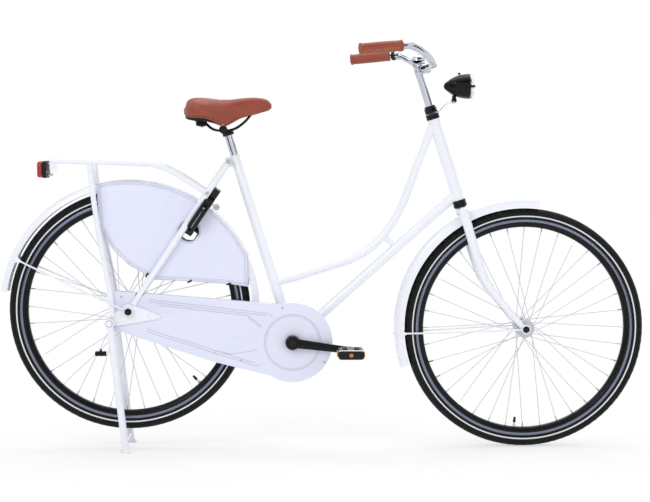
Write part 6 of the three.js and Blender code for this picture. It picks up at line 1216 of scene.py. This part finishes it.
def cushion_shape(point):
    """Where a vertex of the cushion settles: swollen pads, drawn seams and sitting creases."""
    x, y, z = point
    share = (x - SADDLE_REAR) / SADDLE_RUN
    half, crown, hem, _ = saddle_row(max(0.0, min(1.0, share)))
    height = (z - saddle_z(hem)) / max(1.0, saddle_z(crown) - saddle_z(hem))
    if height < 0.05:
        return point
    out = y / max(1.0, half * SADDLE_HALF)
    pads = math.exp(-((abs(out) - 0.5) / 0.26) ** 2) * math.exp(-((share - 0.2) / 0.2) ** 2)
    seam = math.exp(-((height - 0.16) / 0.04) ** 2)
    wave = noise.noise(Vector((x * 0.03, y * 0.04, z * 0.05)))
    crease = noise.noise(Vector((x * 0.09, y * 0.16, 3.1))) * math.exp(-((share - 0.42) / 0.16) ** 2)
    lift = 2.2 * pads * max(0.0, height - 0.4) + 0.7 * wave * height - 0.5 * abs(crease) * height
    return Vector((x, y * (1 - 1.1 * seam / max(20, abs(y) + 1)), z + lift))


points, faces = cushion_mesh()
cushion = piece("saddle_cushion", ([cushion_shape(p) for p in points], faces), "saddle", "leather", 60,
                old="saddle_cover")
smoother = cushion.modifiers.new("stuffed", "SUBSURF")
smoother.levels = smoother.render_levels = 1


def skirt_line(level, push, start, steps):
    """Routes along the saddle's left and right at a share of the skirt's height, pushed outwards."""
    turn = math.asin(level ** (1 / SQUARE))
    left, right = [], []
    for k in range(steps + 1):
        share = start + (0.985 - start) * k / steps
        for route, angle, side in ((left, turn, 1), (right, math.pi - turn, -1)):
            route.append(cushion_shape(saddle_point(share, angle)) + Y * side * push)
    return left, right


# Rolled hem of the cover and one row of thread above it
left, right = skirt_line(0.02, -0.4, 0.0, 120)
piece("saddle_hem", flat_ridge(left + right[::-1], Z, 1.5, 1.7), "saddle", "leather", 60)
stitches = []
for route in skirt_line(0.16, 0.15, 0.02, 150):
    for a, b in zip(route[::2], route[1::2]):
        if (b - a).length > 0.5:
            stitches.append(rod(a, a + (b - a) * 0.75, 0.42, 6, across=Z))
piece("saddle_stitches", stitches, "saddle", "seat_thread", 60)

# Rails, dampers, clamp and the moulded rim of the base
BASE_LEVEL = saddle_z(0.4) - 7
RAIL_REAR, RAIL_RUN, RAIL_LEVEL, RAIL_HALF, RAIL_RADIUS = 163.5, 258, 946.98, 22, 3.5
RAIL_ROUTE = [(0.16, 0.02, 1), (0.22, 0.35, 1), (0.34, 1, 1), (0.55, 1, 1), (0.68, 0.45, 0.8),
              (0.78, -0.32, 0.55)]


def rail_point(run, drop, spread, side):
    """A place on a saddle rail by its shares of the run forward, the drop and the spread."""
    return Vector((RAIL_REAR + RAIL_RUN * run, side * RAIL_HALF * spread,
                   BASE_LEVEL + (RAIL_LEVEL - BASE_LEVEL) * drop))


rails = [tube([rail_point(*shares, side) for shares in RAIL_ROUTE], RAIL_RADIUS, sides=16, steps=60)
         for side in SIDES.values()]
tie = rail_point(*RAIL_ROUTE[1][:2], 1, 0)
rails.append(crosswise(tie, RAIL_HALF, RAIL_RADIUS, 16))
piece("saddle_rails_dressed", rails, "saddle", "black", 50, old="saddle_rails")
for side_name, side in SIDES.items():
    top = Vector((213.5, side * 46, BASE_LEVEL))
    profile = [(0.4, 1), (13, 1), (13.4, -1)]
    for k in range(3):
        profile += [(15, -2 - 4.4 * k), (15.2, -4 - 4.4 * k), (13.2, -5.2 - 4.4 * k)]
    profile += [(14.4, -15.6), (13, -17), (11.4, -18), (13.6, -19.4), (13.8, -23), (11, -27), (0.4, -28)]
    piece(f"saddle_damper_{side_name}", lathe(profile, top, 40, Z), "saddle", "rubber", 50)
    piece(f"saddle_damper_bolt_{side_name}", rod(top - Z * 30, top - Z * 27.4, 5, 6, across=X), "saddle",
          "bright", 25)
rim_rings = []
rim_shares = [0.44 - 0.43 * k / 30 for k in range(31)]
for side, shares in ((1, rim_shares), (-1, rim_shares[::-1])):
    for share in shares:
        half, _, hem, _ = saddle_row(share)
        depth = 2 + 9 * min(1.0, (0.45 - share) / 0.16)
        foot = Vector((SADDLE_REAR + SADDLE_RUN * share, side * half * SADDLE_HALF * 0.84,
                       saddle_z(hem) + 4))
        rim_rings.append([foot + Y * side * out - Z * drop for out, drop in
                          ((1.6, 0), (1.6, depth), (0.4, depth + 1.2), (-1.4, depth + 1), (-1.6, 0))])
piece("saddle_base_rim", skin(rim_rings), "saddle", "plastic", 60)
post_top = on_seat(652)
clamp = Vector((post_top.x - 12 * SEAT_AHEAD.x, 0, RAIL_LEVEL))
piece("saddle_clamp_collar", lathe(collar(12.9, 17, -15, -0.6, 0.8, 1), post_top, 40, SEAT_UP), "saddle",
      "black", 40, old="saddle_clamp")
jaws = [lathe(collar(3, 12, *span(side, 9, 29), 0.6, 0.8), clamp, 28) for side in SIDES.values()]
piece("saddle_clamp_jaws", [*jaws, crosswise(clamp, 9.2, 8.4, 28)], "saddle", "black", 40)
for side_name, side in SIDES.items():
    piece(f"saddle_clamp_nut_{side_name}", rod(clamp + Y * side * 28.6, clamp + Y * side * 33.6, 6.4, 6),
          "saddle", "black", 25, edge=0.6)


# Cranks: forged arms with a boss, dust cap and the pedal's eye
CRANK_ANGLE, CRANK_LENGTH = -7.6, 170


def on_crank(reach, rise=0.0, side=0.0):
    """A place along the line through both cranks, forward for the left one's way, above it and across."""
    turn = math.radians(CRANK_ANGLE)
    return BRACKET + Vector((reach * math.cos(turn) - rise * math.sin(turn), side,
                             reach * math.sin(turn) + rise * math.cos(turn)))


for side_name, side in SIDES.items():
    way = -side
    foot = 43.2 if side_name == "right" else 52.4
    rings = []
    for reach, tall, thick in ((4, 14.4, 7), (22, 13.6, 7), (60, 12.4, 6.6), (110, 11.4, 6.2),
                               (150, 10.8, 6), (166, 11, 6), (176, 9, 5.8), (180.6, 4.6, 5.4)):
        rings.append([on_crank(way * reach, tall * squared(math.sin(turn), 0.6),
                               side * 73 + thick * squared(math.cos(turn), 0.6))
                      for turn in (math.tau * k / 28 for k in range(28))])
    hub = [(8.7, foot), (13, foot), (13, 61), (17.4, 62), (20, 63.8), (20.4, 65.4), (20.4, 78),
           (19.6, 80.4), (16.6, 82), (13.4, 82), (13, 80.6), (8.7, 80.6)]
    eye = [(0.4, 66.4), (11, 66.4), (11.4, 67.2), (11.4, 79), (10.6, 79.8), (6, 79.8), (6, 170.6),
           (0.4, 170.6)]
    arm = [skin(rings), lathe(hub, BRACKET, 48, side=side),
           lathe(eye, on_crank(way * CRANK_LENGTH), 32, side=side)]
    piece(f"crank_{side_name}_dressed", arm, "crank", "black", 45, old=f"crank_{side_name}")
    cap = [(0.4, 83.4), (6, 83), (11, 81.8), (12.8, 80.6), (12.8, 78), (0.4, 78)]
    piece(f"crank_cap_{side_name}", lathe(cap, BRACKET, 40, side=side), "crank", "plastic", 40)

# Pedals: rubber treads in a cage, side reflectors, axle flats and a dust cap
for side_name, side in SIDES.items():
    body = f"pedal_{side_name}"
    centre = on_crank(-side * CRANK_LENGTH)
    for rise, direction in ((9.4, "up"), (-9.4, "down")):
        ribs = [block(centre + Vector((row * 23, side * (97 + 7.8 * k), rise)), 8.6, 2.6, 2.6)
                for row in (-1, 1) for k in range(11)]
        piece(f"{body}_tread_{direction}", ribs, body, "rubber", 30, edge=0.8)
    for row, end_name in ((1, "front"), (-1, "rear")):
        spot = centre + Vector((row * 38, side * 136, 0))
        piece(f"{body}_reflector_{end_name}", block(spot, 2.4, 24, 7),
              body, "orange", 30, edge=0.9)
    cap_ring = [(5, 182.2), (9.6, 182.2), (10, 184.2), (8, 185.1), (5, 184.6)]
    piece(f"{body}_cap_ring", lathe(cap_ring, centre, 36, side=side), body, "black", 40)
    cap = [(0.4, 182.2), (6.2, 182.2), (5.8, 184.8), (3, 186), (0.4, 186.3)]
    piece(f"{body}_cap", lathe(cap, centre, 32, side=side), body, "orange", 50)
    strip = block(centre + Vector((0, side * 177, 12)), 36, 6, 1.4)
    piece(f"{body}_edge_strip", strip, body, "steel", 30,
          edge=0.7)
    spindle = [(0.4, 80.6), (6.6, 80.6), (6.6, 83.6), (5.2, 84), (5.2, 88.6), (0.4, 88.6)]
    piece(f"{body}_spindle_flats", lathe(spindle, centre, 24, side=side), "crank", "bright", 30)

# Ring lock: the rivets and the seam of its cover
LOCK = on_stay(LOCK_PLACE, LOCK_AHEAD)


def on_lock(radius, degrees, ahead=0.0):
    """The place at a radius round the lock's middle, with degrees counted from below it."""
    turn = math.radians(degrees)
    return LOCK - STAY_UP * radius * math.cos(turn) + STAY_AHEAD * ahead - Y * radius * math.sin(turn)


for side_name, side in SIDES.items():
    rivet = on_lock(61.5, -side * 118, 12.3)
    piece(f"lock_rivet_{side_name}", rod(rivet, rivet + STAY_AHEAD * 1.7, 3.4, 18, 2.6),
          "frame", "bright", 30)
seam_route = [on_lock(72.3, angle) for angle in range(100, 261, 5)]
piece("lock_seam", sweep(seam_route, [(0.7, 0.7)] * 2, 8, 64, across=STAY_AHEAD), "frame", "plastic", 40)

# Rivets and bolts of the mudguards, the brake arm's bolt and the bracket's cups
for name, body, axle, centre, radius in (
        ("rear_guard_rivet", "frame", REAR_AXLE, around(REAR_AXLE, REAR_GUARD + 0.1, 121.6), 3),
        ("rear_guard_bridge_bolt", "frame", REAR_AXLE, around(REAR_AXLE, REAR_GUARD + 0.1, 53.2), 4),
        ("front_guard_rivet", "fork", FRONT_AXLE, around(FRONT_AXLE, FRONT_GUARD + 0.2, 118), 3.6)):
    way = (centre - axle).normalized()
    piece(name, rod(centre - way * 1, centre + way * 1.8, radius, 18, radius * 0.8), body,
          "bright", 30)
arm_tip = Vector((96, 44.5, 377))
piece("brake_arm_bolt", rod(arm_tip - Y * 7, arm_tip + Y * 8, 4, 18), "frame", "bright", 30)
for side_name, side in SIDES.items():
    cup = [(17, 38), (20.4, 38), (20.8, 38.8), (20.8, 43.4), (19.6, 44.4), (9, 44.4), (9, 42), (17, 42)]
    piece(f"bracket_cup_{side_name}", lathe(cup, BRACKET, 48, side=side), "frame", "steel", 40)


# CAD nodes that stay: each gets its finish, rounded edges and smooth shading
SMOOTH_ANGLE = 47


def soften_group():
    """Smooth shading that keeps the sharp edges, in place of the normals that the CAD came with."""
    group = bpy.data.node_groups.new("soften", "GeometryNodeTree")
    group.interface.new_socket("Geometry", in_out="INPUT", socket_type="NodeSocketGeometry")
    group.interface.new_socket("Geometry", in_out="OUTPUT", socket_type="NodeSocketGeometry")
    source, sink = group.nodes.new("NodeGroupInput"), group.nodes.new("NodeGroupOutput")
    bare = group.nodes.new("GeometryNodeRemoveAttribute")
    bare.inputs["Name"].default_value = "custom_normal"
    angle = group.nodes.new("GeometryNodeInputMeshEdgeAngle")
    flat = group.nodes.new("FunctionNodeCompare")
    flat.operation = "LESS_THAN"
    flat.inputs[1].default_value = math.radians(SMOOTH_ANGLE)
    faces, edges = (group.nodes.new("GeometryNodeSetShadeSmooth") for _ in range(2))
    edges.domain = "EDGE"
    for start, end in (
        (source.outputs[0], bare.inputs["Geometry"]), (bare.outputs[0], faces.inputs["Geometry"]),
        (faces.outputs[0], edges.inputs["Geometry"]), (angle.outputs[0], flat.inputs[0]),
        (flat.outputs[0], edges.inputs["Shade Smooth"]), (edges.outputs[0], sink.inputs[0]),
    ):
        group.links.new(start, end)
    return group


CAD_EDGES = {"chain": 0.3, "chainring": 0.3, "rear_sprocket": 0.3, "lock_housing": 1.4,
             "pedal_right": 1.6, "pedal_left": 1.6, "chaincase_outer": 2.4, "chaincase_inner": 0.6}
soften = soften_group()
for node_name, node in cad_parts.items():
    slot_name = node.data.materials[0].name.split(".")[0]
    node.data.materials[0] = FINISHES[SLOTS[slot_name][0]]
    if node.hide_render:
        continue
    weld = node.modifiers.new("weld", "WELD")
    weld.merge_threshold = 0.00001
    edge = node.modifiers.new("edge", "BEVEL")
    edge.width = CAD_EDGES.get(node_name, 0.7) * MILLI
    edge.segments = 2
    edge.limit_method = "ANGLE"
    edge.angle_limit = math.radians(SMOOTH_ANGLE)
    edge.use_clamp_overlap = True
    node.modifiers.new("soften", "NODES").node_group = soften


# Stage: a pale floor that turns white away from the bicycle, a white surround and soft lamps
def put(name, data, place, target):
    """An object at a place, with its -Z side to a target."""
    obj = bpy.data.objects.new(name, data)
    obj.location = place
    obj.rotation_euler = (Vector(target) - Vector(place)).to_track_quat("-Z", "Y").to_euler()
    bpy.context.scene.collection.objects.link(obj)
    return obj


def board(name, wide, tall, colour):
    """Mesh of a flat board by its half sizes, the node tree of its dull material and the shader in it."""
    mesh = bpy.data.meshes.new(name)
    mesh.from_pydata([(-wide, -tall, 0), (wide, -tall, 0), (wide, tall, 0), (-wide, tall, 0)], [],
                     [(0, 1, 2, 3)])
    material = bpy.data.materials.new(name)
    material.use_nodes = True
    shader = material.node_tree.nodes["Principled BSDF"]
    shader.inputs["Base Color"].default_value = (*colour, 1)
    shader.inputs["Roughness"].default_value = 0.9
    mesh.materials.append(material)
    return mesh, material.node_tree, shader


def stage_floor():
    """A pale board that turns white away from the bicycle."""
    mesh, tree, shader = board("stage_floor", FLOOR_REACH, FLOOR_REACH, (0.96, 0.96, 0.965))
    shader.inputs["Specular IOR Level"].default_value = 0.1
    place = add_node(tree, "ShaderNodeTexCoord").outputs["Object"]
    oval = add_node(tree, "ShaderNodeVectorMath", {"operation": "MULTIPLY"}, _0=place, _1=(0.72, 1.6, 0))
    far = add_node(tree, "ShaderNodeVectorMath", {"operation": "LENGTH"}, _0=oval.outputs[0])
    fade = add_node(tree, "ShaderNodeMapRange", {"interpolation_type": "SMOOTHSTEP"},
                    Value=far.outputs["Value"], From_Min=0.3, From_Max=1.35, To_Min=0.55)
    share = add_node(tree, "ShaderNodeMath", {"operation": "MULTIPLY"}, _0=fade.outputs[0],
                     _1=seen_rays(tree))
    white = add_node(tree, "ShaderNodeEmission", Color=(1, 1, 1, 1), Strength=1.0)
    mix = add_node(tree, "ShaderNodeMixShader", _0=share.outputs[0], _1=shader.outputs[0],
                   _2=white.outputs[0])
    tree.links.new(mix.outputs[0], tree.nodes["Material Output"].inputs["Surface"])
    floor = bpy.data.objects.new("stage_floor", mesh)
    bpy.context.scene.collection.objects.link(floor)


def seen_rays(tree):
    """1 for the rays that show the surround to the camera, straight or in metal and glass."""
    rays = add_node(tree, "ShaderNodeLightPath")
    seen = rays.outputs["Is Camera Ray"]
    for kind in ("Is Glossy Ray", "Is Transmission Ray"):
        seen = add_node(tree, "ShaderNodeMath", {"operation": "MAXIMUM"},
                        _0=seen, _1=rays.outputs[kind]).outputs[0]
    return seen


def surround():
    """White where the camera sees it, a little darker as a light."""
    world = bpy.data.worlds.new("surround")
    world.use_nodes = True
    tree = world.node_tree
    level = add_node(tree, "ShaderNodeMapRange", Value=seen_rays(tree), To_Min=SKY_LEVEL, To_Max=1.0)
    background = tree.nodes["Background"]
    background.inputs["Color"].default_value = (1, 1, 1, 1)
    tree.links.new(level.outputs[0], background.inputs["Strength"])
    bpy.context.scene.world = world


def lamp(name, place, target, size, power):
    light = bpy.data.lights.new(name, "AREA")
    light.shape = "RECTANGLE"
    light.size, light.size_y = size
    light.energy = power
    put(name, light, place, target)


def dark_card(name, place, target, size):
    """A black board that only polished surfaces see, as beside a studio table."""
    mesh, *_ = board(name, size[0] / 2, size[1] / 2, (0.012, 0.012, 0.016))
    card = put(name, mesh, place, target)
    for ray in ("camera", "diffuse", "transmission", "volume_scatter", "shadow"):
        setattr(card, f"visible_{ray}", False)


FLOOR_REACH, SKY_LEVEL = 14, 0.68
stage_floor()
surround()
lamp("lamp_key", (-2.4, -3.2, 3.4), (0, 0, 0.5), (2.6, 1.8), 50)
lamp("lamp_fill", (3.2, -3.4, 2.0), (0, 0, 0.6), (2.2, 2.2), 24)
lamp("lamp_top", (0.2, 0.8, 4.0), (0, 0, 0.3), (3.4, 2.2), 42)
lamp("lamp_rim", (1.2, 4.0, 2.2), (0, 0, 0.6), (3.0, 1.8), 30)
for name, place, size in (
        ("card_left", (-3.6, -2.7, 1.2), (2.3, 3.6)), ("card_right", (3.5, -2.9, 1.2), (2.1, 3.6)),
        ("card_over", (0.3, -2.6, 3.7), (5.6, 2.2)), ("card_low", (0.2, -5.6, 0.2), (1.6, 0.9)),
        ("card_back", (-1.6, 3.8, 1.4), (1.6, 3.2))):
    dark_card(name, place, (0, 0, 0.7), size)

view_camera = bpy.data.cameras.new("camera")
view_camera.lens = 86.8
view_camera.sensor_width = 36
bpy.context.scene.camera = put("camera", view_camera, (-0.115, -4.65, 0.916), (0.004, 0, 0.587))
bpy.context.scene.view_settings.view_transform = "Standard"
